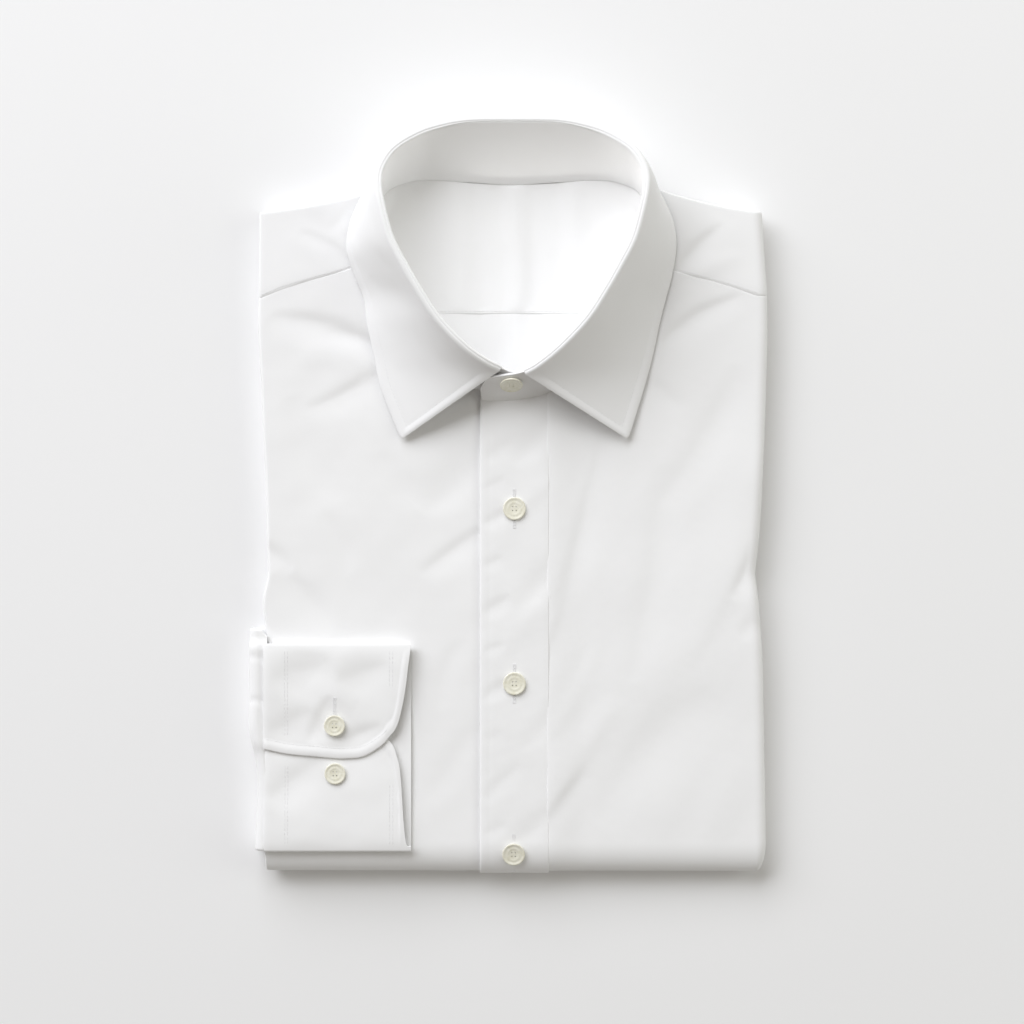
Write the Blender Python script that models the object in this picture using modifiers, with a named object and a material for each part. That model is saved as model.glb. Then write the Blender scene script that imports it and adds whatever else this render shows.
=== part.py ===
"""A folded dress shirt lying on its back, with one cuff brought round onto its front.

Sizes are in millimetres and become metres as each mesh is made. X runs towards the wearer's
left side, Y towards the collar and Z up. The origin is under the middle of the whole shirt.
"""

from math import atan2, cos, hypot, pi, radians, sin

import bmesh
import bpy
from mathutils import Vector

MM = 0.001

# Walls of the cloth, and the gap between neighbours
CLOTH = 1.2
LEAF_WALL = 1.4
BAND_WALL = 1.6
CUFF_WALL = 1.4
GAP = 0.3

# Heights of the stack's layers
STACK_TOP = 16.0
PLACKET_TOP = STACK_TOP + GAP + CLOTH
CORE_TOP = 13.2
INSIDE_TOP = 11.5

# The placket and the line of buttons
MIDDLE = 2.25
PLACKET_LEFT = -14.2
PLACKET_WIDTH = 34.7
PLACKET_RIGHT = PLACKET_LEFT + PLACKET_WIDTH
PLACKET_NECK = 48.8
PLACKET_EASE = 19.0
BOTTOM = -185.0

# How a panel goes over the stack's edges: this far out, this far down to the fold's middle
SIDE_OUT = 5.0
SIDE_DOWN = 4.2
BOTTOM_OUT = 7.0
BOTTOM_DOWN = STACK_TOP / 2
SHOULDER_OUT = 5.0
SHOULDER_DOWN = 6.6
FOLD_TURN = radians(145)

# Sides of the stack: distance up the shirt, edge
LEFT_SIDE = ((-184, -123.0), (-172, -121.4), (-64, -121.4), (-50, -122.6), (-36, -120.2), (0, -121.2),
             (50, -123.5), (100, -125.0), (145, -122.0))
RIGHT_SIDE = ((-184, 129.5), (-130, 129.0), (-70, 127.0), (-38, 124.6), (10, 128.0), (50, 129.0),
              (100, 129.5), (145, 126.5))

# Yoke: its seam with the fronts, then with the collar band; the start of the shoulder fold; its height
YOKE_LINES = (
    # seam x, seam y, shoulder x, shoulder y, height
    (-120.0, 101.2, -117.0, 139.5, 16.0),
    (-104.0, 108.2, -104.0, 142.0, 16.0),
    (-88.0, 112.8, -90.0, 144.5, 16.0),
    (-72.8, 117.6, -79.0, 147.0, 16.0),
    (-72.9, 126.0, -75.5, 148.0, 15.8),
    (-72.2, 134.5, -72.5, 149.0, 15.4),
    (-69.5, 143.8, -69.5, 150.2, 15.0),
    (-65.2, 150.4, -65.5, 153.2, 14.6),
    (-60.0, 156.9, -60.0, 158.8, 14.0),
    (-50.5, 162.4, -50.5, 163.8, 13.5),
    (-25.0, 162.2, -25.0, 163.8, 13.2),
    (2.2, 161.0, 2.2, 163.2, 13.2),
    (29.5, 162.2, 29.5, 163.8, 13.2),
    (55.0, 162.4, 55.0, 163.8, 13.5),
    (64.5, 156.9, 64.5, 158.8, 14.0),
    (69.7, 150.4, 70.0, 153.8, 14.6),
    (74.0, 143.8, 74.5, 151.8, 15.0),
    (76.7, 134.5, 78.5, 150.2, 15.4),
    (77.4, 126.0, 82.0, 148.8, 15.8),
    (77.3, 117.6, 87.0, 147.4, 16.0),
    (92.5, 112.2, 98.0, 144.6, 16.0),
    (108.5, 107.6, 110.0, 142.0, 16.0),
    (124.3, 101.2, 121.3, 139.5, 16.0),
)
YOKE_NECK_LEFT = -72.8
YOKE_NECK_RIGHT = 77.3

# Neck edges of the fronts: distance across, distance up the shirt
RIGHT_NECK = ((-72.8, 116.8), (-67.8, 106.4), (-61.4, 94.0), (-52.4, 80.6), (-38.8, 65.6), (-23.0, 54.6),
              (-13.0, 49.6), (17.0, 47.6))
LEFT_NECK = ((20.9, 51.4), (43.3, 65.6), (56.9, 80.6), (65.9, 94.0), (72.3, 106.4), (77.3, 116.8))
SEAM_DROP = 0.4

# The largest folds of the fronts: soft troughs from one place to another, half width and depth
FRONT_FOLDS = (
    # start x, start y, end x, end y, half width, depth
    (46, 26, 23, -40, 8, 0.8),
    (90, 20, 52, -94, 9, 0.6),
    (128, 0, 114, -40, 8, 0.9),
    (-74, 84, -104, 96, 8, 0.7),
    (76, 84, 108, 98, 8, 0.7),
    (-20, -20, -38, -34, 7, 0.5),
    (50, -136, 12, -176, 8, 0.5),
)

# Inside of the neck: distance up the shirt, half width
BACK_WIDTHS = ((47, 15), (52.5, 20), (56.5, 28), (67, 42), (81.6, 55), (93, 62.5))
INNER_YOKE_WIDTHS = ((93, 62.5), (107, 69.0), (121, 73.4), (134, 73.2), (143, 69.6), (150, 65.2), (160, 64.0))
INNER_YOKE_BACK = ((0, 156.9), (0.3, 157.6), (0.6, 159.2), (0.8, 158.2), (0.9, 155.6), (1.0, 149.8))
INNER_SEAM = 93.0
INNER_RISE = 1.3
INNER_RISE_START = 130.0

# Collar, half of it from the middle of the back to the front, across measured from the middle
COLLAR_FOLD_RADIUS = 1.4
COLLAR = (
    # fold x, y, top; neck seam x, y, z; leaf edge x, y, z; how much further out the other leaf's edge is
    (0.0, 184.6, 37.0, 0.0, 157.8, 13.0, 0.0, 171.5, 1.6, 0.0),
    (22.6, 184.1, 37.5, 24.3, 159.3, 13.0, 25.0, 172.3, 2.2, 0.0),
    (38.8, 181.0, 38.5, 41.4, 160.4, 13.0, 43.0, 172.0, 4.5, 0.0),
    (49.9, 176.6, 40.5, 52.4, 159.3, 13.4, 55.0, 170.0, 8.5, 0.0),
    (59.3, 170.4, 43.5, 61.9, 155.3, 14.0, 63.0, 165.5, 13.0, 0.0),
    (64.7, 162.3, 46.0, 66.4, 149.4, 14.8, 69.5, 158.5, 16.8, 0.3),
    (65.8, 153.7, 48.0, 70.4, 143.0, 15.6, 75.5, 149.0, 17.3, 0.6),
    (63.9, 142.3, 49.5, 73.1, 133.7, 16.2, 80.0, 138.0, 17.3, 1.0),
    (59.7, 127.3, 50.0, 73.3, 120.7, 16.4, 81.3, 125.5, 17.3, 1.2),
    (52.9, 113.9, 50.0, 68.8, 107.1, 16.4, 79.6, 113.0, 17.3, -0.5),
    (45.6, 101.2, 49.5, 62.3, 94.6, 16.4, 76.3, 101.0, 17.3, -2.0),
    (36.8, 87.9, 48.0, 53.3, 81.6, 16.4, 73.0, 87.5, 17.3, -0.8),
    (23.9, 74.3, 44.5, 39.8, 67.1, 16.8, 69.8, 72.0, 17.4, -0.8),
    (12.9, 65.5, 39.5, 24.3, 56.5, 17.6, 65.5, 55.5, 17.8, 0.0),
    (6.3, 62.0, 35.5, 12.7, 52.5, 18.4, 57.6, 30.0, 20.0, -2.2),
)
LEAF_GAP = 0.6
LEAF_BULGE = 1.6

# The band's ends past the leaf: the outer one crosses the placket, the inner one goes under it
OUTER_END = (
    # top edge x, y, z; neck seam x, y, z
    (3.0, 61.2, 33.4, 6.0, 50.8, 18.5),
    (-3.0, 59.4, 32.6, -1.5, 49.9, 18.5),
    (-7.6, 57.0, 29.6, -7.0, 49.6, 18.6),
    (-10.2, 53.4, 24.6, -10.0, 49.8, 19.2),
)
INNER_END = (
    (3.0, 63.0, 31.4, -2.0, 52.4, 16.6),
    (10.0, 64.6, 31.6, 6.0, 52.8, 16.6),
)
UNDER_SHIFT = Vector((0.0, 1.9, -1.4))

# Cuff: left end, height of each layer's middle, ends of the two flaps
CUFF_LEFT = -121.9
CUFF_TOP = -71.7
CUFF_BOTTOM = -176.3
CUFF_LOW = STACK_TOP + GAP + CUFF_WALL / 2
CUFF_UNDER = 19.7
CUFF_OVER = 21.4
CUFF_TOP_RADIUS = 1.2
FLAP_DIP_START = -112.0
CUFF_COLUMNS = (-121.9, -110.0, -98.0, -87.0, -78.0, -71.0, -65.0, -60.0, -56.0, -53.0, -50.8, -49.3, -48.5)
OVER_FLAP = (
    # across, end of the flap on top
    (-122, -124.6), (-110.5, -127.0), (-96.5, -128.3), (-80, -129.3), (-72, -128.2), (-67, -125.5),
    (-60, -119.4), (-54, -108.4), (-51, -93.0), (-48.5, -75.5),
)
UNDER_FLAP = (
    # across, end of the flap beneath
    (-122, -113.0), (-74, -113.0), (-68, -114.5), (-60, -120.0), (-54.5, -129.3), (-52.5, -137.5),
    (-51.2, -152.0), (-50.2, -166.0), (-48.5, -171.8),
)

# Sleeve: a flattened tube with this gap inside, from the cuff over the side and in under the stack
SLEEVE_WALL = 1.1
SLEEVE_INSIDE = 0.6
SLEEVE_THICK = 2 * SLEEVE_WALL + SLEEVE_INSIDE
SLEEVE_TOP = -64.8
SLEEVE_BOTTOM = -176.0
SLEEVE_START = CUFF_LEFT - 1.5 * GAP
SLEEVE_END = -106.0
SLEEVE_REACH = ((-180, -125.0), (-128, -125.2), (-116, -127.4), (-64, -128.0))
SLEEVE_HIGH = 18.3
SLEEVE_LOW = 0.1 + SLEEVE_THICK / 2
SLEEVE_TURN = 3.2
SLEEVE_ROOM = 1.5

# Buttons: four holes, a dished face and a rim
FRONT_BUTTON = 11.4
CUFF_BUTTON = 10.5
BUTTON_THICK = 2.4
BUTTON_PROFILE = (
    # share of the radius, share of the thickness, down the outside from the middle of the face
    (0.0, 0.62), (0.42, 0.66), (0.58, 0.92), (0.72, 1.0), (0.90, 0.90), (1.0, 0.55), (0.86, 0.12),
    (0.66, 0.0), (0.0, 0.0),
)
BUTTON_STEPS = 20
HOLE_RADIUS = 0.7
HOLE_SPREAD = 1.45
FRONT_BUTTONS = ((3.2, -4.8), (3.2, -92.3), (2.8, -177.6))
CUFF_BUTTONS = ((-86.5, -113.0, CUFF_OVER), (-86.3, -137.1, CUFF_UNDER))
NECK_BUTTON = (0.68, 0.33)

WHITE_CLOTH = (0.86, 0.86, 0.86, 1.0)
CREAM_SHELL = (0.80, 0.76, 0.62, 1.0)


def mix(start, end, share):
    return start + (end - start) * share


def ease(share):
    """A share of 0 to 1 with a soft start and end."""
    share = min(max(share, 0.0), 1.0)
    return share * share * (3 - 2 * share)


def along(rows, place):
    """The value at a place on a smooth line through rows of (place, value)."""
    if place <= rows[0][0]:
        return rows[0][1]
    if place >= rows[-1][0]:
        return rows[-1][1]
    index = max(i for i in range(len(rows) - 1) if rows[i][0] <= place)
    start, end = rows[index], rows[index + 1]
    before, after = rows[max(index - 1, 0)], rows[min(index + 2, len(rows) - 1)]
    span = end[0] - start[0]
    leaving = (end[1] - before[1]) / (end[0] - before[0]) * span
    arriving = (after[1] - start[1]) / (after[0] - start[0]) * span
    t = (place - start[0]) / span
    return (start[1] * (2 * t**3 - 3 * t**2 + 1) + leaving * (t**3 - 2 * t**2 + t)
            + end[1] * (3 * t**2 - 2 * t**3) + arriving * (t**3 - t**2))


def straight(rows, share):
    """The row at a share of the way down a table, on straight lines between its rows."""
    place = share * (len(rows) - 1)
    index = min(int(place), len(rows) - 2)
    return Vector(rows[index]).lerp(Vector(rows[index + 1]), place - index)


def curved(rows, share):
    """The row at a share of the way down a table, on a smooth curve through its rows."""
    place = share * (len(rows) - 1)
    index = min(int(place), len(rows) - 2)
    t = place - index
    a, b, c, d = (Vector(rows[min(max(index + step, 0), len(rows) - 1)]) for step in (-1, 0, 1, 2))
    return 0.5 * (2 * b + (c - a) * t + (2 * a - 5 * b + 4 * c - d) * t**2 + (3 * b - a - 3 * c + d) * t**3)


def material(name, colour, roughness):
    made = bpy.data.materials.new(name)
    made.use_nodes = True
    shader = made.node_tree.nodes["Principled BSDF"]
    shader.inputs["Base Color"].default_value = colour
    shader.inputs["Roughness"].default_value = roughness
    shader.inputs["Metallic"].default_value = 0.0
    return made


def add_object(name, mesh, finish, home):
    mesh.shade_smooth()
    mesh.set_sharp_from_angle(angle=radians(50))
    made = bpy.data.objects.new(name, mesh)
    made.data.materials.append(finish)
    home.objects.link(made)
    return made


def sheet(name, columns, rows, place, wall, offset=-1.0, ring=False):
    """A wall of cloth on a grid: place gives each point from its column and row, in millimetres."""
    grid = bmesh.new()
    bmesh.ops.create_grid(grid, x_segments=columns, y_segments=rows, size=1.0)
    for vert in grid.verts:
        column = round((vert.co.x + 1) / 2 * columns)
        row = round((vert.co.y + 1) / 2 * rows)
        vert.co = place(column, row) * MM
    if ring:
        bmesh.ops.remove_doubles(grid, verts=grid.verts, dist=0.01 * MM)
    mesh = bpy.data.meshes.new(name)
    grid.to_mesh(mesh)
    grid.free()
    made = add_object(name, mesh, material(name + "_cloth", WHITE_CLOTH, 0.85), SHIRT)
    thicken = made.modifiers.new("wall", "SOLIDIFY")
    thicken.thickness = wall * MM
    thicken.offset = offset
    thicken.use_even_offset = True
    return made


def split(index, flat, beyond):
    """Where a column or row lies: its share of the flat stretch, and its share of the fold past it."""
    if index <= flat:
        return index / flat, 0.0
    return 1.0, (index - flat) / beyond


def over_edge(side, end):
    """How far a point past a panel's edge lies out sideways, out endways and down, as shares.

    At a corner both are past their edge. The last share says how much of the corner's turn is done.
    """
    past = max(side, end)
    if past == 0.0:
        return 0.0, 0.0, 0.0, 0.0
    turn = pi / 4 * min(side, end) / past
    if end > side:
        turn = pi / 2 - turn
    angle = FOLD_TURN * past
    return sin(angle) * cos(turn), sin(angle) * sin(turn), 1 - cos(angle), turn / (pi / 2)


def trough(x, y, fold):
    """Depth of one soft fold at a place."""
    start_x, start_y, end_x, end_y, half_width, depth = fold
    length = hypot(end_x - start_x, end_y - start_y)
    run_x, run_y = (end_x - start_x) / length, (end_y - start_y) / length
    forward = ((x - start_x) * run_x + (y - start_y) * run_y) / length
    across = abs((x - start_x) * run_y - (y - start_y) * run_x) / half_width
    if across >= 1 or not 0 < forward < 1:
        return 0.0
    return depth * sin(pi * forward) * (1 - ease(across))


def front_height(x, y):
    return STACK_TOP - sum(trough(x, y, fold) for fold in FRONT_FOLDS)


def panel_point(x, y, height, side, end, side_way=1.0):
    """A point of a front panel: flat at x, y, or past its side and its bottom edge."""
    out_side, out_end, down, corner = over_edge(side, end)
    drop = mix(SIDE_DOWN, BOTTOM_DOWN, corner)
    return Vector((x + side_way * SIDE_OUT * out_side, y - BOTTOM_OUT * out_end, height - drop * down))


def yoke_seam(x):
    """How far up the shirt the fronts reach at the yoke's seam."""
    lines = YOKE_LINES[:4] if x < MIDDLE else YOKE_LINES[-4:]
    return along([(line[0], line[1]) for line in lines], x) - SEAM_DROP


PANEL_ROWS = 20
BOTTOM_ROWS = 6
SIDE_COLUMNS = 5


def make_front_left():
    """From the placket's seam to the side, up to the collar band and the yoke."""
    to_neck, to_side = 5, 5

    def place(column, row):
        share, end = split(PANEL_ROWS + BOTTOM_ROWS - row, PANEL_ROWS, BOTTOM_ROWS)
        flat, side = split(column, to_neck + to_side, SIDE_COLUMNS)
        if column <= to_neck:
            x = mix(LEFT_NECK[0][0], YOKE_NECK_RIGHT, column / to_neck)
            top = along(LEFT_NECK, x)
        else:
            x = mix(YOKE_NECK_RIGHT, RIGHT_SIDE[-2][1] - SIDE_OUT, min((column - to_neck) / to_side, 1))
            top = yoke_seam(x)
        y = mix(top, BOTTOM + BOTTOM_OUT, share)
        edge = along(RIGHT_SIDE, y) - SIDE_OUT
        if column > to_neck:
            x = mix(YOKE_NECK_RIGHT, edge, min((column - to_neck) / to_side, 1))
        lift = (PLACKET_TOP - STACK_TOP) * (1 - ease((x - PLACKET_RIGHT) / PLACKET_EASE))
        return panel_point(x, y, front_height(x, y) + lift, side, end)

    return sheet("front_left", to_neck + to_side + SIDE_COLUMNS, PANEL_ROWS + BOTTOM_ROWS, place, CLOTH)


def make_front_right():
    """From the side to under the placket, up to the yoke and the collar band."""
    to_neck, under_placket = 5, 7

    def place(column, row):
        share, end = split(PANEL_ROWS + BOTTOM_ROWS - row, PANEL_ROWS, BOTTOM_ROWS)
        flat, side = split(to_neck + under_placket + SIDE_COLUMNS - column, to_neck + under_placket, SIDE_COLUMNS)
        inward = column - SIDE_COLUMNS
        if inward >= to_neck:
            x = mix(YOKE_NECK_LEFT, RIGHT_NECK[-1][0], (inward - to_neck) / under_placket)
            top = along(RIGHT_NECK, x)
        else:
            x = mix(LEFT_SIDE[-2][1] + SIDE_OUT, YOKE_NECK_LEFT, max(inward / to_neck, 0))
            top = yoke_seam(x)
        y = mix(top, BOTTOM + BOTTOM_OUT, share)
        edge = along(LEFT_SIDE, y) + SIDE_OUT
        if inward < to_neck:
            x = mix(edge, YOKE_NECK_LEFT, max(inward / to_neck, 0))
        height = STACK_TOP if x > PLACKET_LEFT else front_height(x, y)
        return panel_point(x, y, height, side, end, side_way=-1.0)

    return sheet("front_right", SIDE_COLUMNS + to_neck + under_placket, PANEL_ROWS + BOTTOM_ROWS, place, CLOTH)


def make_placket():
    """A straight strip on the right front, carried over the bottom edge."""
    columns = 4
    higher = PLACKET_TOP - STACK_TOP

    def place(column, row):
        share, end = split(PANEL_ROWS + BOTTOM_ROWS - row, PANEL_ROWS, BOTTOM_ROWS)
        x = mix(PLACKET_LEFT, PLACKET_RIGHT, column / columns)
        y = mix(PLACKET_NECK, BOTTOM + BOTTOM_OUT, share)
        angle = FOLD_TURN * end
        out = (BOTTOM_OUT + higher) * sin(angle)
        down = (BOTTOM_DOWN + higher) * (1 - cos(angle))
        return Vector((x, y - out, PLACKET_TOP - down))

    return sheet("placket", columns, PANEL_ROWS + BOTTOM_ROWS, place, CLOTH)


def make_yoke():
    """Over both shoulders and behind the neck, down over the stack's sides and top edge."""
    across, flat_rows, shoulder_rows = 44, 2, 5
    columns = across + 2 * SIDE_COLUMNS

    def place(column, row):
        inward = min(max(column - SIDE_COLUMNS, 0), across)
        side = abs(column - SIDE_COLUMNS - inward) / SIDE_COLUMNS
        seam_x, seam_y, shoulder_x, shoulder_y, height = straight(YOKE_LINES, inward / across)
        flat, end = split(row, flat_rows, shoulder_rows)
        out_side, out_end, down, corner = over_edge(side, end)
        way = -1 if column < SIDE_COLUMNS else 1
        drop = mix(SIDE_DOWN, SHOULDER_DOWN * height / STACK_TOP, corner)
        return Vector((mix(seam_x, shoulder_x, flat) + way * SIDE_OUT * out_side,
                       mix(seam_y, shoulder_y, flat) + SHOULDER_OUT * out_end, height - drop * down))

    return sheet("yoke", columns, flat_rows + shoulder_rows, place, CLOTH)


def make_inner_yoke():
    columns, rows = 14, 8

    def place(column, row):
        across = 2 * column / columns - 1
        y = mix(INNER_SEAM + GAP, along(INNER_YOKE_BACK, abs(across)), row / rows)
        rise = INNER_RISE * ease((y - INNER_RISE_START) / (INNER_YOKE_BACK[0][1] - INNER_RISE_START))
        return Vector((MIDDLE + across * along(INNER_YOKE_WIDTHS, y), y, INSIDE_TOP + rise))

    return sheet("inner_yoke", columns, rows, place, CLOTH)


def make_back_panel():
    columns, rows = 12, 6

    def place(column, row):
        across = 2 * column / columns - 1
        y = mix(BACK_WIDTHS[0][0], INNER_SEAM, row / rows)
        return Vector((MIDDLE + across * along(BACK_WIDTHS, y), y, INSIDE_TOP))

    return sheet("back_panel", columns, rows, place, CLOTH)


def collar_station(around):
    """The collar's guide points at a place from -1, one front, through 0, the back, to 1, the other front."""
    row = curved(COLLAR, abs(around))
    way = 1 if around >= 0 else -1
    fold, seam, edge = Vector(row[0:3]), Vector(row[3:6]), Vector(row[6:9])
    if way < 0:
        edge.x += row[9]
        under = UNDER_SHIFT * ease((abs(around) - 0.82) / 0.16)
        fold += under
        seam += under
    for point in (fold, seam, edge):
        point.x = MIDDLE + way * point.x
    fold.z -= COLLAR_FOLD_RADIUS + LEAF_WALL / 2
    return fold, seam, edge


def outward(around):
    """Level direction square to the collar's fold, away from the neck."""
    step = 0.01
    ahead = collar_station(min(around + step, 1.0))[0]
    behind = collar_station(max(around - step, -1.0))[0]
    run = ahead - behind
    return Vector((-run.y, run.x, 0)).normalized()


def fold_point(centre, out, angle):
    """A point on the round of the collar's fold: angle 0 is outermost, a quarter turn is its top."""
    return centre + COLLAR_FOLD_RADIUS * (cos(angle) * out + sin(angle) * Vector((0, 0, 1)))


def band_top(around):
    """Where the band meets the leaf, at the start of the fold, and the direction it arrives in."""
    centre, seam, _ = collar_station(around)
    out = outward(around)
    rise = centre - seam
    start = pi / 2 + atan2(rise.z, rise.dot(out))
    return fold_point(centre, out, start), start


def bowed(start, end, share, bow):
    """A point from start to end on a curve that bows by a vector in its middle."""
    return start.lerp(end, share) + bow * (4 * share * (1 - share))


def band_line(around):
    """The band's top edge and neck seam at a place, in the order of the end tables' columns."""
    seam = collar_station(around)[1]
    top = band_top(around)[0]
    top -= (top - seam).normalized() * LEAF_GAP
    return (*top, *seam)


def make_collar_band():
    """From the inner end at one front, round the neck, to the outer end that crosses the placket."""
    around_columns, end_columns, rows = 48, 4, 5
    columns = around_columns + 2 * end_columns
    inner_end = (band_line(-1.0), *INNER_END)
    outer_end = (band_line(1.0), *OUTER_END)

    def place(column, row):
        if column < end_columns:
            line = curved(inner_end, (end_columns - column) / end_columns)
        elif column > columns - end_columns:
            line = curved(outer_end, (column - columns + end_columns) / end_columns)
        else:
            line = band_line(2 * (column - end_columns) / around_columns - 1)
        return Vector(line[3:6]).lerp(Vector(line[0:3]), row / rows)

    return sheet("collar_band", columns, rows, place, BAND_WALL, offset=0.0)


def make_collar_leaf():
    """Over the fold and down to the leaf's edge, from one point to the other."""
    columns, fold_rows, fall_rows = 48, 4, 4

    def place(column, row):
        around = 2 * column / columns - 1
        centre, _, edge = collar_station(around)
        out = outward(around)
        start = band_top(around)[1]
        fall = edge - centre
        slope = atan2(-fall.z, fall.dot(out))
        finish = pi / 2 - slope
        if row <= fold_rows:
            return fold_point(centre, out, mix(start, finish, row / fold_rows))
        leaving = fold_point(centre, out, finish)
        bow = LEAF_BULGE * (sin(slope) * out + cos(slope) * Vector((0, 0, 1)))
        return bowed(leaving, edge, (row - fold_rows) / fall_rows, bow)

    return sheet("collar_leaf", columns, fold_rows + fall_rows, place, LEAF_WALL, offset=0.0)


def make_cuff():
    """A ring of cloth pressed flat: flap on top, round the top fold, beneath, and round to the other flap."""
    over_rows, top_rows, low_rows, bottom_rows, under_rows = 9, 4, 4, 4, 7
    marks = (over_rows, over_rows + top_rows, over_rows + top_rows + low_rows,
             over_rows + top_rows + low_rows + bottom_rows)
    half = CUFF_WALL / 2
    top_y = CUFF_TOP - half - CUFF_TOP_RADIUS
    bottom_radius = (CUFF_UNDER - CUFF_LOW) / 2
    bottom_y = CUFF_BOTTOM + half + bottom_radius
    near_fold = CUFF_LOW + 2 * CUFF_TOP_RADIUS

    def place(column, row):
        x = CUFF_COLUMNS[column]
        if row <= marks[0]:
            y = mix(along(OVER_FLAP, x), top_y, row / over_rows)
            dip = ease((y - FLAP_DIP_START) / (top_y - FLAP_DIP_START))
            return Vector((x, y, mix(CUFF_OVER, near_fold, dip)))
        if row <= marks[1]:
            angle = pi * (row - marks[0]) / top_rows
            return Vector((x, top_y + CUFF_TOP_RADIUS * sin(angle), CUFF_LOW + CUFF_TOP_RADIUS * (1 + cos(angle))))
        if row <= marks[2]:
            return Vector((x, mix(top_y, bottom_y, (row - marks[1]) / low_rows), CUFF_LOW))
        if row <= marks[3]:
            angle = pi * (row - marks[2]) / bottom_rows
            return Vector((x, bottom_y - bottom_radius * sin(angle), CUFF_LOW + bottom_radius * (1 - cos(angle))))
        end = along(UNDER_FLAP, x)
        return Vector((x, mix(bottom_y, end, (row - marks[3]) / under_rows), CUFF_UNDER))

    return sheet("cuff_right", len(CUFF_COLUMNS) - 1, marks[3] + under_rows, place, CUFF_WALL, offset=0.0)


def sleeve_path(y):
    """Middle of the sleeve from the cuff, over the side and in under the stack: x, z and direction."""
    outer = along(SLEEVE_REACH, y)
    bend = min(SLEEVE_TURN, SLEEVE_START - outer)
    steps = 4
    line = [(SLEEVE_START, SLEEVE_HIGH, pi)]
    for step in range(steps + 1):
        angle = pi / 2 * step / steps
        line.append((outer + bend * (1 - sin(angle)), SLEEVE_HIGH - SLEEVE_TURN * (1 - cos(angle)), pi + angle))
    for step in range(steps + 1):
        angle = pi / 2 * step / steps
        line.append((outer + bend * (1 - cos(angle)), SLEEVE_LOW + SLEEVE_TURN * (1 - sin(angle)),
                     1.5 * pi + angle))
    line.append((SLEEVE_END, SLEEVE_LOW, 2 * pi))
    return line


def make_sleeve():
    """A flattened tube: straight above and below, with round folds at its two sides."""
    flat_columns, fold_columns = 4, 3
    around = 2 * (flat_columns + fold_columns)
    radius = (SLEEVE_INSIDE + SLEEVE_WALL) / 2
    high = SLEEVE_TOP - radius - SLEEVE_WALL / 2
    low = SLEEVE_BOTTOM + radius + SLEEVE_WALL / 2
    rows = len(sleeve_path(0)) - 1

    def section(column):
        """Distance along the cuff and away from the tube's middle."""
        column = column % around
        if column <= flat_columns:
            return mix(low, high, column / flat_columns), radius
        column -= flat_columns
        if column <= fold_columns:
            angle = pi * column / fold_columns
            return high + radius * sin(angle), radius * cos(angle)
        column -= fold_columns
        if column <= flat_columns:
            return mix(high, low, column / flat_columns), -radius
        angle = pi * (column - flat_columns) / fold_columns
        return low - radius * sin(angle), -radius * cos(angle)

    def place(column, row):
        y, away = section(column)
        x, z, heading = sleeve_path(y)[row]
        return Vector((x + away * cos(heading - pi / 2), y, z + away * sin(heading - pi / 2)))

    return sheet("sleeve_right", around, rows, place, SLEEVE_WALL, offset=0.0, ring=True)


CORE_SIDE = (
    # height, how far in from the side, how far in from the bottom and top edges
    (0.0, 2.4, 8.4), (0.9, 0.7, 7.6), (2.0, 0.2, 7.4), (3.1, 0.9, 7.6), (3.7, 2.2, 7.8), (4.3, 0.9, 7.6),
    (5.6, 0.3, 7.4), (6.9, 0.9, 7.6), (7.7, 4.2, 7.6), (12.0, 4.6, 7.6), (CORE_TOP, 7.5, 10.0),
)
CORE_ACROSS = (0.0, 0.02, 0.06, 0.11, 0.155, 0.185, 0.27, 0.36, 0.44, 0.52, 0.60, 0.69, 0.78, 0.81, 0.84, 0.90,
               0.95, 0.985, 1.0)
CORE_ALONG = (0.0, 0.02, 0.08, 0.17, 0.26, 0.35, 0.44, 0.53, 0.62, 0.655, 0.68, 0.76, 0.84, 0.92, 0.98, 1.0)
NECK_WELL = (-76.0, 80.5, 44.0)
WELL_SLOPE = 7.0
WELL_DEPTH = 3.4


def stack_top_edge(x):
    """The shoulder fold's outermost line."""
    return along([(line[2], line[3]) for line in YOKE_LINES], x) + SHOULDER_OUT


def core_height(x, y):
    """Top of the hidden layers: level, and lower under the inside of the neck."""
    left, right, bottom = NECK_WELL
    inside = min(x - left, right - x, y - bottom) / WELL_SLOPE + 1
    return CORE_TOP - WELL_DEPTH * ease(inside)


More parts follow.
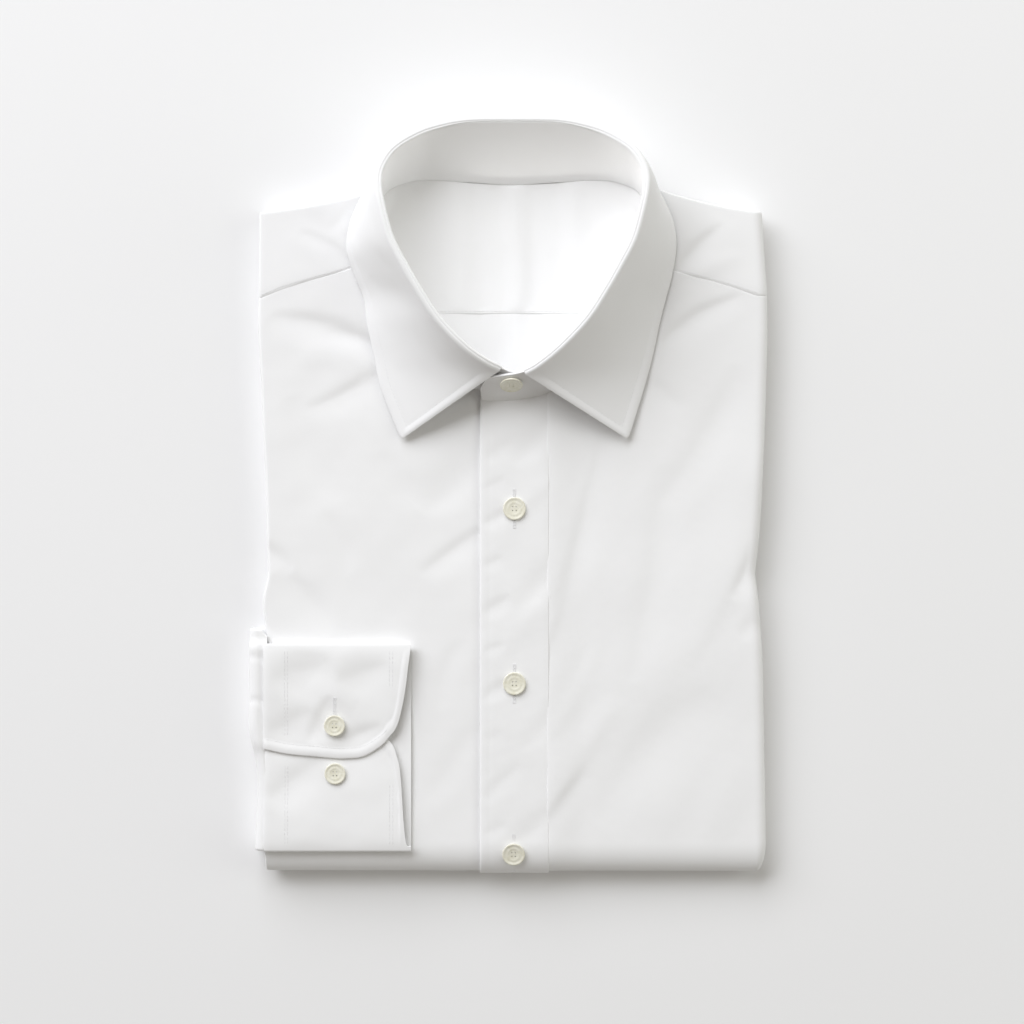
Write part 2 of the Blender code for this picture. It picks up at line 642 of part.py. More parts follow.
def make_hidden_layers():
    """One rounded solid, ridged at its sides like the folds' edges, with room for the sleeve beneath."""
    solid = bmesh.new()
    bmesh.ops.create_cube(solid, size=2.0)
    levels = [index / (len(CORE_SIDE) - 1) for index in range(len(CORE_SIDE))]
    for axis, cuts in ((0, CORE_ACROSS), (1, CORE_ALONG), (2, levels)):
        normal = Vector((0, 0, 0))
        normal[axis] = 1
        for share in cuts[1:-1]:
            bmesh.ops.bisect_plane(solid, geom=solid.verts[:] + solid.edges[:] + solid.faces[:],
                                   plane_co=normal * (2 * share - 1), plane_no=normal)
    for vert in solid.verts:
        across, up, level = ((value + 1) / 2 for value in vert.co)
        height, side_in, end_in = CORE_SIDE[round(level * (len(CORE_SIDE) - 1))]
        rough_x = mix(LEFT_SIDE[0][1], RIGHT_SIDE[0][1], across)
        y = mix(BOTTOM + end_in, stack_top_edge(rough_x) - end_in, up)
        x = mix(along(LEFT_SIDE, y) + side_in, along(RIGHT_SIDE, y) - side_in, across)
        if height == CORE_TOP:
            height = core_height(x, y)
        elif height > CORE_TOP - WELL_DEPTH:
            height = min(height, core_height(x, y) - GAP)
        vert.co = Vector((x, y, height)) * MM
    mesh = bpy.data.meshes.new("hidden_layers")
    solid.to_mesh(mesh)
    solid.free()
    made = add_object("hidden_layers", mesh, material("hidden_layers_cloth", WHITE_CLOTH, 0.85), SHIRT)
    low, high = SLEEVE_BOTTOM - SLEEVE_ROOM, SLEEVE_TOP + SLEEVE_ROOM
    far, near = LEFT_SIDE[0][1] - SLEEVE_THICK, SLEEVE_END + SLEEVE_ROOM
    top = SLEEVE_LOW + SLEEVE_THICK / 2 + GAP
    room = bmesh.new()
    bmesh.ops.create_cube(room, size=1.0)
    for vert in room.verts:
        vert.co = Vector((mix(far, near, vert.co.x + 0.5), mix(low, high, vert.co.y + 0.5),
                          mix(-top, top, vert.co.z + 0.5))) * MM
    cut(made, "sleeve_room", room)
    return made


def cut(made, name, cutter_mesh):
    """Take a bmesh away from an object."""
    mesh = bpy.data.meshes.new(name)
    cutter_mesh.to_mesh(mesh)
    cutter_mesh.free()
    cutter = bpy.data.objects.new(name, mesh)
    cutter.hide_render = True
    cutter.display_type = "WIRE"
    CUTTERS.objects.link(cutter)
    removal = made.modifiers.new("cut", "BOOLEAN")
    removal.operation = "DIFFERENCE"
    removal.solver = "EXACT"
    removal.object = cutter
    return cutter


def make_button(name, diameter, seat, facing=Vector((0, 0, 1))):
    """A turned button with four holes: seat is the middle of its underside, and its face looks along facing."""
    mesh = bpy.data.meshes.new(name)
    profile = [(share * diameter / 2 * MM, 0.0, high * BUTTON_THICK * MM) for share, high in BUTTON_PROFILE]
    mesh.from_pydata(profile, [(index, index + 1) for index in range(len(profile) - 1)], [])
    made = bpy.data.objects.new(name, mesh)
    made.data.materials.append(material(name + "_shell", CREAM_SHELL, 0.25))
    SHIRT.objects.link(made)
    turned = made.modifiers.new("turned", "SCREW")
    turned.steps = BUTTON_STEPS
    turned.render_steps = BUTTON_STEPS
    turned.use_merge_vertices = True
    turned.merge_threshold = 0.00001
    holes = bmesh.new()
    for side in (-1, 1):
        for end in (-1, 1):
            shift = Vector((side * HOLE_SPREAD / 2, end * HOLE_SPREAD / 2, BUTTON_THICK / 2)) * MM
            made_hole = bmesh.ops.create_cone(holes, cap_ends=True, segments=6, radius1=HOLE_RADIUS / 2 * MM,
                                              radius2=HOLE_RADIUS / 2 * MM, depth=3 * BUTTON_THICK * MM)
            bmesh.ops.translate(holes, verts=made_hole["verts"], vec=shift)
    cutter = cut(made, name + "_holes", holes)
    for item in (made, cutter):
        item.location = Vector(seat) * MM
        item.rotation_mode = "QUATERNION"
        item.rotation_quaternion = Vector((0, 0, 1)).rotation_difference(facing)
    return made


def make_buttons():
    for index, (x, y) in enumerate(FRONT_BUTTONS, start=1):
        make_button("button_front_%d" % index, FRONT_BUTTON, (x, y, PLACKET_TOP + GAP))
    for index, (x, y, layer) in enumerate(CUFF_BUTTONS, start=1):
        make_button("button_cuff_%d" % index, CUFF_BUTTON, (x, y, layer + CUFF_WALL / 2 + GAP))
    top, seam = Vector(OUTER_END[0][0:3]), Vector(OUTER_END[0][3:6])
    on = Vector(OUTER_END[1][0:3]) - top
    facing = (top - seam).cross(on).normalized()
    up_band, on_band = NECK_BUTTON
    seat = seam.lerp(top, up_band) + on * on_band + facing * (BAND_WALL / 2 + GAP)
    make_button("button_neck", FRONT_BUTTON, seat, facing)


def start_empty():
    for item in list(bpy.data.objects):
        bpy.data.objects.remove(item, do_unlink=True)


def collection(name):
    made = bpy.data.collections.new(name)
    bpy.context.scene.collection.children.link(made)
    return made


start_empty()
SHIRT = collection("folded_dress_shirt")
CUTTERS = collection("cutters")
make_hidden_layers()
make_back_panel()
make_inner_yoke()
make_yoke()
make_front_right()
make_front_left()
make_placket()
make_collar_band()
make_collar_leaf()
make_sleeve()
make_cuff()
make_buttons()
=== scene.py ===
"""Looks of a folded white dress shirt that lies on its back, seen from straight above.

Lengths are in millimetres and become metres as each mesh is made. X runs towards the wearer's
left side, Y towards the collar and Z up from the surface that the shirt lies on.
"""

from math import cos, hypot, pi, radians, sin

import bmesh
import bpy
import numpy as np
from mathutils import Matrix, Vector


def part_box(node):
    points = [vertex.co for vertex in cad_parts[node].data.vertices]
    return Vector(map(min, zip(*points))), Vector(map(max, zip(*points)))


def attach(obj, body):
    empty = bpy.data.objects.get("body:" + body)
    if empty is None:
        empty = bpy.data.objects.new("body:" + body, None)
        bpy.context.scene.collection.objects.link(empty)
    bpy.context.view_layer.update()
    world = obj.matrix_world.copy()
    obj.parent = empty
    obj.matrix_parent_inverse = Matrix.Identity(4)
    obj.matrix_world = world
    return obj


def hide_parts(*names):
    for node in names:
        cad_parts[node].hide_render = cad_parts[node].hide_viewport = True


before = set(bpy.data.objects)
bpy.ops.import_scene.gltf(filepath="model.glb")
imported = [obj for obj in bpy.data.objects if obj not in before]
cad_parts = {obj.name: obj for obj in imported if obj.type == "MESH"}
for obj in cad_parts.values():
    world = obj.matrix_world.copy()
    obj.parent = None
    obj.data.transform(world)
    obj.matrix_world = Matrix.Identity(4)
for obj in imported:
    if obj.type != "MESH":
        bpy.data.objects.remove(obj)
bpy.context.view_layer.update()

MM = 0.001


def box(node):
    """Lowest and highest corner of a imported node, in millimetres."""
    low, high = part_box(node)
    return Vector(low) / MM, Vector(high) / MM


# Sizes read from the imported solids
STACK_TOP = box("front_right")[1].z
PLACKET_TOP = box("placket")[1].z
PLACKET_LEFT = box("placket")[0].x
PLACKET_RIGHT = box("placket")[1].x
PLACKET_NECK = box("placket")[1].y
BOTTOM = box("front_left")[0].y
CUFF_LEFT = box("cuff_right")[0].x
CUFF_RIGHT = box("cuff_right")[1].x
CUFF_BOTTOM = box("cuff_right")[0].y
CUFF_TOP = box("cuff_right")[1].y
MIDDLE = 2.25

# Cloth thicknesses, and the round of a cut edge
CLOTH = 0.6
RIM = 0.35
LEAF_WALL = 1.1
BAND_WALL = 1.2
CUFF_WALL = 1.0
PLACKET_WALL = 1.0

# How a panel goes over the stack's edges: this far out, this far down to the fold's middle
SIDE_OUT = 5.0
LEFT_OUT = 1.3
SIDE_DOWN = 4.2
BOTTOM_OUT = 14.5
BOTTOM_DOWN = STACK_TOP / 2
SHOULDER_OUT = 1.4
SHOULDER_DOWN = 6.6
FOLD_TURN = radians(150)

# How far the yoke falls towards its shoulder fold, and how far a front runs on under the yoke and the strip
SHOULDER_FALL = 1.2
TUCK = 4.0
UNDER_STRIP = 1.2

# How far the fold reaches out at the wearer's left side and at the right side
REACH = {1: SIDE_OUT, -1: LEFT_OUT}

# Sides of the stack: distance up the shirt, edge
LEFT_SIDE = ((-184, -124.4), (-172, -122.6), (-64, -121.6), (-50, -122.8), (-37, -120.4), (-30, -120.6),
             (0, -121.2), (50, -123.5), (100, -125.0), (145, -122.0))
RIGHT_SIDE = ((-184, 129.5), (-130, 129.0), (-70, 127.2), (-46, 125.4), (-38, 124.4), (-28, 125.2),
              (10, 128.0), (50, 129.4), (100, 130.3), (145, 127.6))

# Where a small ear of cloth stands out at the lower corner of the wearer's left side
EAR_AT = -176

# Bottom fold: across, how far down the shirt it reaches
BOTTOM_LINE = ((-124, -187.0), (-60, -187.0), (-12, -187.2), (20, -187.2), (60, -187.3), (129, -187.5))

# Yoke seam over the fronts, from the side to the neck: across, up the shirt
SEAM_LEFT = ((-123.7, 100.8), (-116.0, 104.2), (-100.5, 109.2), (-88.0, 112.6), (-72.8, 117.4))
SEAM_RIGHT = ((77.3, 115.6), (84.0, 113.8), (98.5, 110.0), (113.0, 105.9), (125.1, 101.9))

# Yoke: neck edge or front seam, start of the shoulder fold, height
YOKE_LINES = (
    # seam x, seam y, shoulder x, shoulder y, height
    (-123.7, 100.8, -123.6, 143.0, 16.2),
    (-104.0, 108.1, -104.0, 145.6, 16.2),
    (-88.0, 112.6, -90.0, 148.1, 16.2),
    (-72.8, 117.4, -79.0, 150.6, 16.2),
    (-72.9, 126.0, -75.5, 151.6, 16.0),
    (-72.2, 134.5, -72.5, 152.6, 15.6),
    (-69.5, 143.8, -69.5, 153.8, 15.0),
    (-65.2, 150.4, -65.5, 156.8, 14.6),
    (-60.0, 156.9, -60.0, 162.4, 14.0),
    (-50.5, 162.4, -50.5, 167.4, 13.5),
    (-25.0, 162.2, -25.0, 167.4, 13.2),
    (2.2, 161.0, 2.2, 166.8, 13.2),
    (29.5, 162.2, 29.5, 167.4, 13.2),
    (55.0, 162.4, 55.0, 167.4, 13.5),
    (64.5, 156.9, 64.5, 162.4, 14.0),
    (69.7, 150.4, 70.0, 157.4, 14.6),
    (74.0, 143.8, 74.5, 155.4, 15.0),
    (76.7, 134.5, 78.5, 153.8, 15.6),
    (77.4, 126.0, 82.0, 152.4, 16.0),
    (77.3, 115.6, 87.0, 151.0, 16.2),
    (92.5, 111.7, 98.0, 148.2, 16.2),
    (108.5, 107.4, 110.0, 145.6, 16.2),
    (125.1, 101.9, 122.6, 143.6, 16.2),
)

# Neck edges of the fronts: across, up the shirt
RIGHT_NECK = ((-72.8, 117.4), (-67.0, 107.6), (-59.8, 96.0), (-50.4, 83.0), (-36.8, 68.4), (-22.0, 59.0),
              (-12.0, 55.0), (19.4, 52.4))
LEFT_NECK = ((20.9, 54.2), (41.2, 68.2), (54.8, 83.0), (64.2, 96.0), (71.6, 107.6), (77.3, 115.6))

# Soft folds: start, end, how far the line bows to its left, width on its left and on its right, and
# depth, which below zero is a ridge. A fold's steep wall is on its narrow side.
LEFT_FRONT_FOLDS = (
    (48, 38, 22, -60, 3, 8.0, 3.6, 0.50),
    (34, -28, 14, -92, 3, 7.0, 3.4, 0.40),
    (116, 66, 76, -4, 4, 12.0, 8.0, 0.75),
    (78, 18, 62, -92, 4, 12.0, 8.0, 0.85),
    (124, 30, 88, -84, 7, 7.0, 12.0, -0.50),
    (133, 0, 112, -50, 2, 8.0, 3.4, 1.1),
    (132, -52, 116, -70, 0, 6.0, 4.0, 0.5),
    (56, -100, 12, -168, -2, 7.0, 10.0, -0.75),
    (40, -134, 12, -170, 0, 5.0, 3.0, 0.45),
    (102, -96, 46, -162, -4, 14.0, 12.0, 0.9),
    (74, 76, 118, 102, 3, 3.4, 7.0, 0.95),
    (66, 64, 88, 44, 0, 4.0, 7.0, 0.5),
    (44, -76, 22, -118, 2, 6.0, 5.0, -0.35),
    (112, -128, 92, -180, 3, 12.0, 9.0, -0.35),
)
RIGHT_FRONT_FOLDS = (
    (-54, 69, -120, 91, -5, 9.0, 5.0, 1.25),
    (-54, 69, -92, 84, -3, 5.0, 3.0, 0.45),
    (-50, 74, -102, 44, 3, 9.0, 4.0, 0.85),
    (-60, 74, -106, 72, 0, 8.0, 8.0, -0.45),
    (-8, -12, -44, -38, 0, 8.0, 3.6, 0.85),
    (-12, 30, -44, -6, 5, 8.0, 14.0, 0.9),
    (-126, -22, -108, -36, 1, 4.0, 6.0, 0.8),
    (-116, -36, -88, -66, 2, 6.0, 10.0, 0.95),
    (-92, -6, -80, -38, 2, 6.0, 4.0, 0.4),
    (-22, -70, -34, -106, -3, 6.0, 5.0, 0.45),
    (-108, 52, -84, -2, -5, 10.0, 9.0, 0.6),
    (-64, 24, -46, -6, 0, 8.0, 7.0, 0.35),
    (-16, -112, -40, -150, 2, 8.0, 6.0, 0.35),
)
YOKE_FOLDS = (
    (-70, 112, -104, 134, -2, 6.0, 3.0, 0.75),
    (-70, 156, -89, 134, 0, 4.0, 3.0, 0.40),
    (-74, 124, -112, 132, 3, 6.0, 6.0, -0.40),
    (-108, 148, -88, 132, 0, 5.0, 5.0, 0.35),
    (78, 108, 108, 138, 1, 3.0, 6.0, 0.9),
    (84, 106, 118, 122, 2, 5.0, 5.0, -0.45),
    (88, 154, 114, 136, 2, 5.0, 5.0, 0.35),
)
PLACKET_FOLDS = (
    (-13, 19, 3, 29, 0, 4.0, 5.0, 0.36),
    (-13, 4, -1, 10, 0, 2.6, 4.0, 0.26),
    (-13, -14, 4, -4, 0, 3.4, 4.0, 0.42),
    (-13, -34, -2, -29, 0, 2.4, 4.0, 0.28),
    (-13, -58, 2, -49, 0, 3.4, 4.5, 0.42),
    (-13, -77, -1, -72, 0, 2.4, 4.0, 0.26),
    (-13, -101, 4, -88, 0, 3.4, 4.0, 0.42),
    (-13, -122, -2, -117, 0, 3.4, 4.5, 0.20),
    (-13, -150, 8, -132, 0, 4.0, 5.5, 0.42),
    (-13, -166, 0, -161, 0, 2.8, 4.0, 0.24),
    (23, 40, 2, 18, 2, 6.0, 8.0, 0.55),
    (30, 14, -4, -14, -2, 5.0, 6.0, -0.35),
    (26, -44, -8, -84, -2, 7.0, 7.0, -0.32),
    (28, -26, 4, -58, 1, 5.0, 7.0, 0.38),
    (26, -104, 6, -126, 1, 5.0, 6.0, 0.30),
    (27, -150, -8, -182, 0, 5.0, 6.0, 0.50),
)
CUFF_FOLDS = (
    (-86, -82, -118, -92, 0, 12.0, 8.0, 1.15),
    (-58, -83, -86, -93, 0, 11.0, 7.0, 1.0),
    (-88, -98, -99, -122, 0, 7.0, 3.6, 1.0),
    (-96, -106, -122, -120, 0, 10.0, 6.5, 0.9),
    (-62, -113, -84, -122, 0, 6.0, 4.0, 0.8),
    (-92, -130, -120, -152, 0, 11.0, 6.5, 1.1),
    (-84, -150, -58, -140, 2, 8.0, 8.0, -0.3),
    (-98, -90, -76, -104, 0, 8.0, 8.0, -0.4),
)

# Inside of the neck
INSIDE_TOP = box("back_panel")[1].z
INNER_SEAM = 93.0
INNER_RISE = 1.3
INNER_RISE_START = 130.0
BACK_WIDTHS = ((47, 15), (52.5, 20), (56.5, 28), (67, 42), (81.6, 55), (93, 62.5), (97, 64.5))
INNER_YOKE_WIDTHS = ((93, 62.5), (107, 69.0), (121, 73.4), (134, 73.2), (143, 69.6), (150, 66.0), (160, 64.8))
INNER_YOKE_BACK = ((0, 157.9), (0.3, 158.6), (0.6, 160.2), (0.8, 159.4), (0.9, 157.6), (1.0, 152.2))
INNER_YOKE_LIFT = ((93, 2.4), (107, 3.4), (121, 3.8), (134, 3.7), (143, 3.1), (150, 2.1), (161, 0.6))
INNER_YOKE_SLOPE = 8.0

# Collar, half of it from the middle of the back to the front, across measured from the middle
FOLD_RADIUS = 1.4
COLLAR = (
    # fold x, y, top; neck seam x, y, z; leaf edge x, y, z; extra on the other leaf's edge; sag of the leaf
    (0.0, 187.0, 37.0, 0.0, 157.8, 13.0, 0.0, 171.5, 1.2, 0.0, -1.8),
    (22.6, 186.5, 37.5, 24.3, 159.3, 13.0, 25.0, 172.3, 1.8, 0.0, -1.8),
    (38.8, 183.2, 38.5, 41.4, 160.4, 13.0, 43.0, 172.0, 4.2, 0.0, -1.8),
    (49.9, 178.4, 40.5, 52.4, 159.3, 13.4, 55.0, 170.0, 8.2, 0.0, -1.8),
    (59.3, 171.4, 43.5, 61.9, 155.3, 14.0, 63.0, 165.5, 12.8, 0.0, -1.7),
    (64.7, 162.3, 46.0, 66.4, 149.4, 14.8, 69.5, 158.5, 16.8, 0.3, -1.5),
    (65.8, 153.7, 48.0, 70.4, 143.0, 15.6, 75.5, 149.0, 17.3, 0.6, -1.0),
    (63.9, 142.3, 49.5, 73.1, 133.7, 16.2, 80.0, 138.0, 17.3, 1.0, -0.5),
    (59.7, 127.3, 50.0, 73.3, 120.7, 16.4, 81.3, 125.5, 17.3, 1.2, 0.0),
    (52.9, 113.9, 50.0, 68.8, 107.1, 16.4, 79.6, 113.0, 17.3, -0.5, 0.3),
    (45.6, 101.2, 49.5, 62.3, 94.6, 16.4, 76.3, 101.0, 17.3, -2.0, 0.5),
    (36.8, 87.9, 48.5, 53.3, 81.6, 16.4, 73.0, 87.5, 17.2, -0.8, 0.3),
    (23.9, 74.3, 46.2, 39.8, 67.1, 16.6, 69.8, 72.0, 17.2, -0.8, 0.0),
    (12.9, 65.5, 42.6, 24.3, 56.2, 16.5, 65.5, 55.5, 17.3, 0.0, -0.3),
    (6.3, 62.0, 38.6, 12.9, 51.6, 16.8, 57.6, 30.0, 18.3, -2.2, -0.5),
)
OUTER_END = (
    # top edge x, y, z; neck seam x, y, z
    (3.0, 61.9, 35.8, 6.0, 50.2, 17.3),
    (-4.0, 61.0, 34.6, -2.5, 49.6, 17.4),
    (-10.4, 59.8, 31.6, -9.2, 49.4, 17.6),
    (-13.8, 55.2, 24.4, -13.2, 49.9, 18.4),
)
INNER_END = (
    (3.0, 63.0, 34.2, -2.0, 52.4, 16.6),
    (10.0, 64.6, 34.2, 6.0, 52.8, 16.6),
)

# How the end beneath is moved, what the band bows away from and by how much, and how hollow the leaf is
UNDER_SHIFT = (0.0, 1.9, -1.4)
NECK_CENTRE = (MIDDLE, 110, 0)
BAND_BOW = 0.7
RIGHT_HOLLOW = 0.15
LEFT_HOLLOW = 0.02
LEAF_HOLLOW_REACH = 8.5
POINT_ROUND = 1.2

# Share of the way round that one step of the collar's table takes, and the length of the last step, along
# the fold and along the leaf's edge
FRONT_STATION = 1 / (len(COLLAR) - 1)
FRONT_STEPS = (6.46, 25.8)

# Cuff: levels of its layers' middles, their tilt up the shirt, and how they round off towards its folds
CUFF_LOW = 17.0
CUFF_UNDER = 19.6
CUFF_OVER = 21.2
CUFF_OVER_TILT = 0.03
CUFF_UNDER_TILT = -0.03
CUFF_FOLD_OUT = 0.7
CUFF_FOLD_LEAN = 2.4
CUFF_FOLD_TOP = CUFF_TOP - CUFF_WALL / 2 - CUFF_FOLD_OUT
CUFF_FOLD_LOW = CUFF_BOTTOM + CUFF_WALL / 2 + CUFF_FOLD_OUT
TOP_DROP = 1.1
TOP_REACH = 5.0
LOW_DROP = 1.3
LOW_REACH = 4.5
OVER_FLAP = (
    # across, end of the flap on top
    (-122, -124.6), (-110.5, -127.0), (-96.5, -128.3), (-80, -129.3), (-72, -128.2), (-67, -125.5),
    (-60, -119.4), (-54, -108.4), (-51, -93.0), (-49.4, -80.0), (-48.5, -74.5),
)
UNDER_FLAP = (
    # across, end of the flap beneath
    (-122, -113.0), (-74, -113.0), (-68, -114.5), (-60, -120.0), (-55.6, -128.5), (-53.8, -137.5),
    (-52.9, -150.0), (-52.2, -161.0), (-51.2, -170.0), (-48.5, -173.5),
)

# Sleeve: its reach past the side is listed up the shirt, its pleats as a place and a width
SLEEVE_TOP = box("sleeve_right")[1].y
SLEEVE_BOTTOM = box("sleeve_right")[0].y
SLEEVE_END = box("sleeve_right")[1].x
SLEEVE_WALL = 0.8
SLEEVE_INSIDE = 1.1
SLEEVE_REACH = ((-180, -125.4), (-128, -125.6), (-122, -127.0), (-116, -128.0), (-100, -128.0), (-64, -128.3))
SLEEVE_HIGH = 19.3
SLEEVE_LOW = 1.6
SLEEVE_TURN = 3.2
SLEEVE_TAPER = 3.4
SLEEVE_PLEATS = ((-79, 1.2), (-100.5, 1.0))

# Folded layers: how round their corners are, the middles of these corners, and the layers' height and number
LAYERS_CORNER = 4.0
LAYERS_LEFT = -119.5
LAYERS_RIGHT = 124.5
LAYERS_LOW = BOTTOM + 8.0 + LAYERS_CORNER
LAYERS_TOP = 142.0
LAYERS_HIGH = 9.4
LAYERS = 4

# Buttons
FRONT_BUTTON = 11.4
CUFF_BUTTON = 10.5
BUTTON_THICK = 1.4
BUTTON_LIFT = 0.1
FRONT_BUTTONS = (
    # across, up the shirt, how far its cloth lies below the strip's top, lean down the bottom fold
    (3.2, -4.8, 0.0, 0.0), (3.2, -92.3, 0.0, 0.0), (2.8, -177.6, 0.55, 0.2),
)
BUTTON_PROFILE = (
    # out as a share of the radius, up as a share of the thickness
    (0.0, 0.66), (0.32, 0.66), (0.40, 0.69), (0.48, 0.78), (0.55, 0.82), (0.62, 0.79), (0.69, 0.76),
    (0.76, 0.80), (0.84, 0.92), (0.91, 0.99), (0.96, 0.97), (0.99, 0.86), (1.0, 0.66), (0.98, 0.42),
    (0.92, 0.18), (0.80, 0.04), (0.65, 0.0), (0.0, 0.0),
)
HOLE_SPREAD = 1.75
HOLE_RADIUS = 0.32
CUFF_BUTTONS = ((-86.5, -113.0, CUFF_OVER), (-86.3, -137.1, CUFF_UNDER))

# Neck button: shares of the way up the band and in from its end
NECK_BUTTON = (0.68, 0.33)

# Sewing: stitches, sewn edges, rows on the cuff by distance from its left edge, and buttonholes
STITCH = 2.1
STITCH_GAP = 0.35
THREAD = 0.10
EDGE_STITCH = 5.0
EDGE_RISE = 0.36
STITCH_SIDES = 6
STITCH_RINGS = ((-0.5, 0.35), (-0.36, 0.9), (0.0, 1.0), (0.36, 0.9), (0.5, 0.35))
CORNER_STEP = 25.0
SLEEVE_SEAM_ROWS = (10.5, 11.9)
CUFF_EDGE_ROWS = (62.8, 64.4)
BUTTONHOLE = 18.4
CUFF_BUTTONHOLE = 13.5
HOLE_STITCH = 0.28
HOLE_STITCH_ENDS = (0.14, 0.8)

# Looks: the weave's count, and the pearl's tones with their places in the clouds
THREADS_PER_MM = 4.2
PEARL = ((0.3, (0.80, 0.775, 0.63)), (0.7, (0.925, 0.91, 0.80)))

# Grids: columns and rows of each piece, with one number for each stretch where it has several
SIDE_COLUMNS = 12
BOTTOM_ROWS = 16
PANEL_ROWS = 230
FINER_AT_SEAM = 1.35
LEFT_NECK_COLUMNS = 42
RIGHT_NECK_COLUMNS = 60
SEAM_COLUMNS = 40
STRIP_COLUMNS = 44
STRIP_ROWS = 240
YOKE_COLUMNS = 264
YOKE_ROWS = 36
INNER_YOKE_GRID = (110, 70)
BACK_GRID = (90, 50)
BAND_COLUMNS = 260
BAND_END_COLUMNS = 26
BAND_ROWS = 20
LEAF_COLUMNS = 400
LEAF_FOLD_ROWS = 32
LEAF_FALL_ROWS = 56
LEAF_COLUMN_SHARES = (0, 0.6, 1)
LEAF_PLACES = (0, 0.88, 1)
CUFF_COLUMNS = 90
CUFF_FINER_RIGHT = 1.6
CUFF_ROWS = (70, 12, 38, 12, 48)
SLEEVE_COLUMNS = (60, 10, 60, 10)
SLEEVE_ROWS = (5, 14, 10, 14, 10)
LAYERS_GRID = (480, 48)


def mix(start, end, share):
    """A share of the way from start to end."""
    return start + (end - start) * share


def ease(share):
    """A share of 0 to 1 with a soft start and end."""
    share = np.clip(share, 0.0, 1.0)
    return share * share * (3 - 2 * share)


def along(rows, places):
    """Values at places on a smooth line through rows of (place, value)."""
    rows = np.array(rows, dtype=float)
    at, value = rows[:, 0], rows[:, 1]
    places = np.clip(np.asarray(places, dtype=float), at[0], at[-1])
    slope = np.gradient(value, at)
    index = np.clip(np.searchsorted(at, places, side="right") - 1, 0, len(at) - 2)
    span = at[index + 1] - at[index]
    t = (places - at[index]) / span
    return (value[index] * (2 * t**3 - 3 * t**2 + 1) + slope[index] * span * (t**3 - 2 * t**2 + t)
            + value[index + 1] * (3 * t**2 - 2 * t**3) + slope[index + 1] * span * (t**3 - t**2))


def curved(rows, shares):
    """Rows at shares of the way down a table, on smooth curves through its rows: one output row a share."""
    rows = np.array(rows, dtype=float)
    place = np.clip(np.asarray(shares, dtype=float), 0, 1) * (len(rows) - 1)
    index = np.minimum(place.astype(int), len(rows) - 2)
    t = (place - index)[:, None]
    a, b, c, d = (rows[np.clip(index + step, 0, len(rows) - 1)] for step in (-1, 0, 1, 2))
    return 0.5 * (2 * b + (c - a) * t + (2 * a - 5 * b + 4 * c - d) * t**2 + (3 * b - a - 3 * c + d) * t**3)


def straight(rows, shares):
    """Rows at shares of the way down a table, on straight lines between its rows."""
    rows = np.array(rows, dtype=float)
    place = np.asarray(shares, dtype=float) * (len(rows) - 1)
    stations = np.arange(len(rows))
    return np.stack([np.interp(place, stations, rows[:, k]) for k in range(rows.shape[1])], axis=1)


def uneven(x, y, size, seed):
    """Soft unevenness from -1 to 1 with features of about the given size."""
    chance = np.random.default_rng(seed)
    total = np.zeros_like(x)
    for _ in range(7):
        heading = chance.uniform(0, pi)
        wave = size * chance.uniform(0.7, 1.8)
        total += np.sin((x * cos(heading) + y * sin(heading)) * 2 * pi / wave + chance.uniform(0, 2 * pi))
    return total / 3.5


def relief(x, y, folds):
    """Height that a table's soft folds add at each place."""
    total = np.zeros_like(x)
    for start_x, start_y, end_x, end_y, bow, left_width, right_width, depth in folds:
        length = hypot(end_x - start_x, end_y - start_y)
        run_x, run_y = (end_x - start_x) / length, (end_y - start_y) / length
        forward = np.clip(((x - start_x) * run_x + (y - start_y) * run_y) / length, 0, 1)
        swell = np.sin(pi * forward) ** 0.8
        across = (y - start_y) * run_x - (x - start_x) * run_y - bow * 4 * forward * (1 - forward)
        width = np.where(across > 0, left_width, right_width) * (0.55 + 0.45 * swell)
        total -= depth * swell * np.exp(-(across / width) ** 2)
    return total


def points(x, y, z):
    """One row of x, y and z for each place."""
    return np.stack(np.broadcast_arrays(x, y, z), axis=1).astype(float)


def over_edge(side, end):
    """How far points past a panel's edge lie out sideways, out endways and down, as shares.

    At a corner both are past their edge. The last share says how much of the corner's turn is done.
    """
    past = np.maximum(side, end)
    least = np.minimum(side, end)
    turn = pi / 4 * least / np.maximum(past, 1e-9)
    turn = np.where(end > side, pi / 2 - turn, turn)
    turn = np.where(past > 0, turn, 0.0)
    angle = FOLD_TURN * past
    return np.sin(angle) * np.cos(turn), np.sin(angle) * np.sin(turn), 1 - np.cos(angle), turn / (pi / 2)


def split(index, flat, beyond):
    """Where columns or rows lie: share of the flat stretch, and share of the fold past it."""
    return np.minimum(index / flat, 1.0), np.maximum((index - flat) / beyond, 0.0)


def progress(value, lengths):
    """How far along each of several stretches in a row a place is, as shares from 0 to 1."""
    stops = np.cumsum((0,) + lengths)
    return [np.clip((value - start) / length, 0, 1) for start, length in zip(stops, lengths)]


def new_object(name, data):
    """An object of its own in the scene."""
    made = bpy.data.objects.new(name, data)
    bpy.context.scene.collection.objects.link(made)
    return made


def as_mesh(name, shape):
    """A mesh from a bmesh, which is freed."""
    mesh = bpy.data.meshes.new(name)
    shape.to_mesh(mesh)
    shape.free()
    return mesh


def evaluated_mesh(source):
    """A mesh of an object as its modifiers or its curve settings make it."""
    bpy.context.view_layer.update()
    return bpy.data.meshes.new_from_object(source.evaluated_get(bpy.context.evaluated_depsgraph_get()))


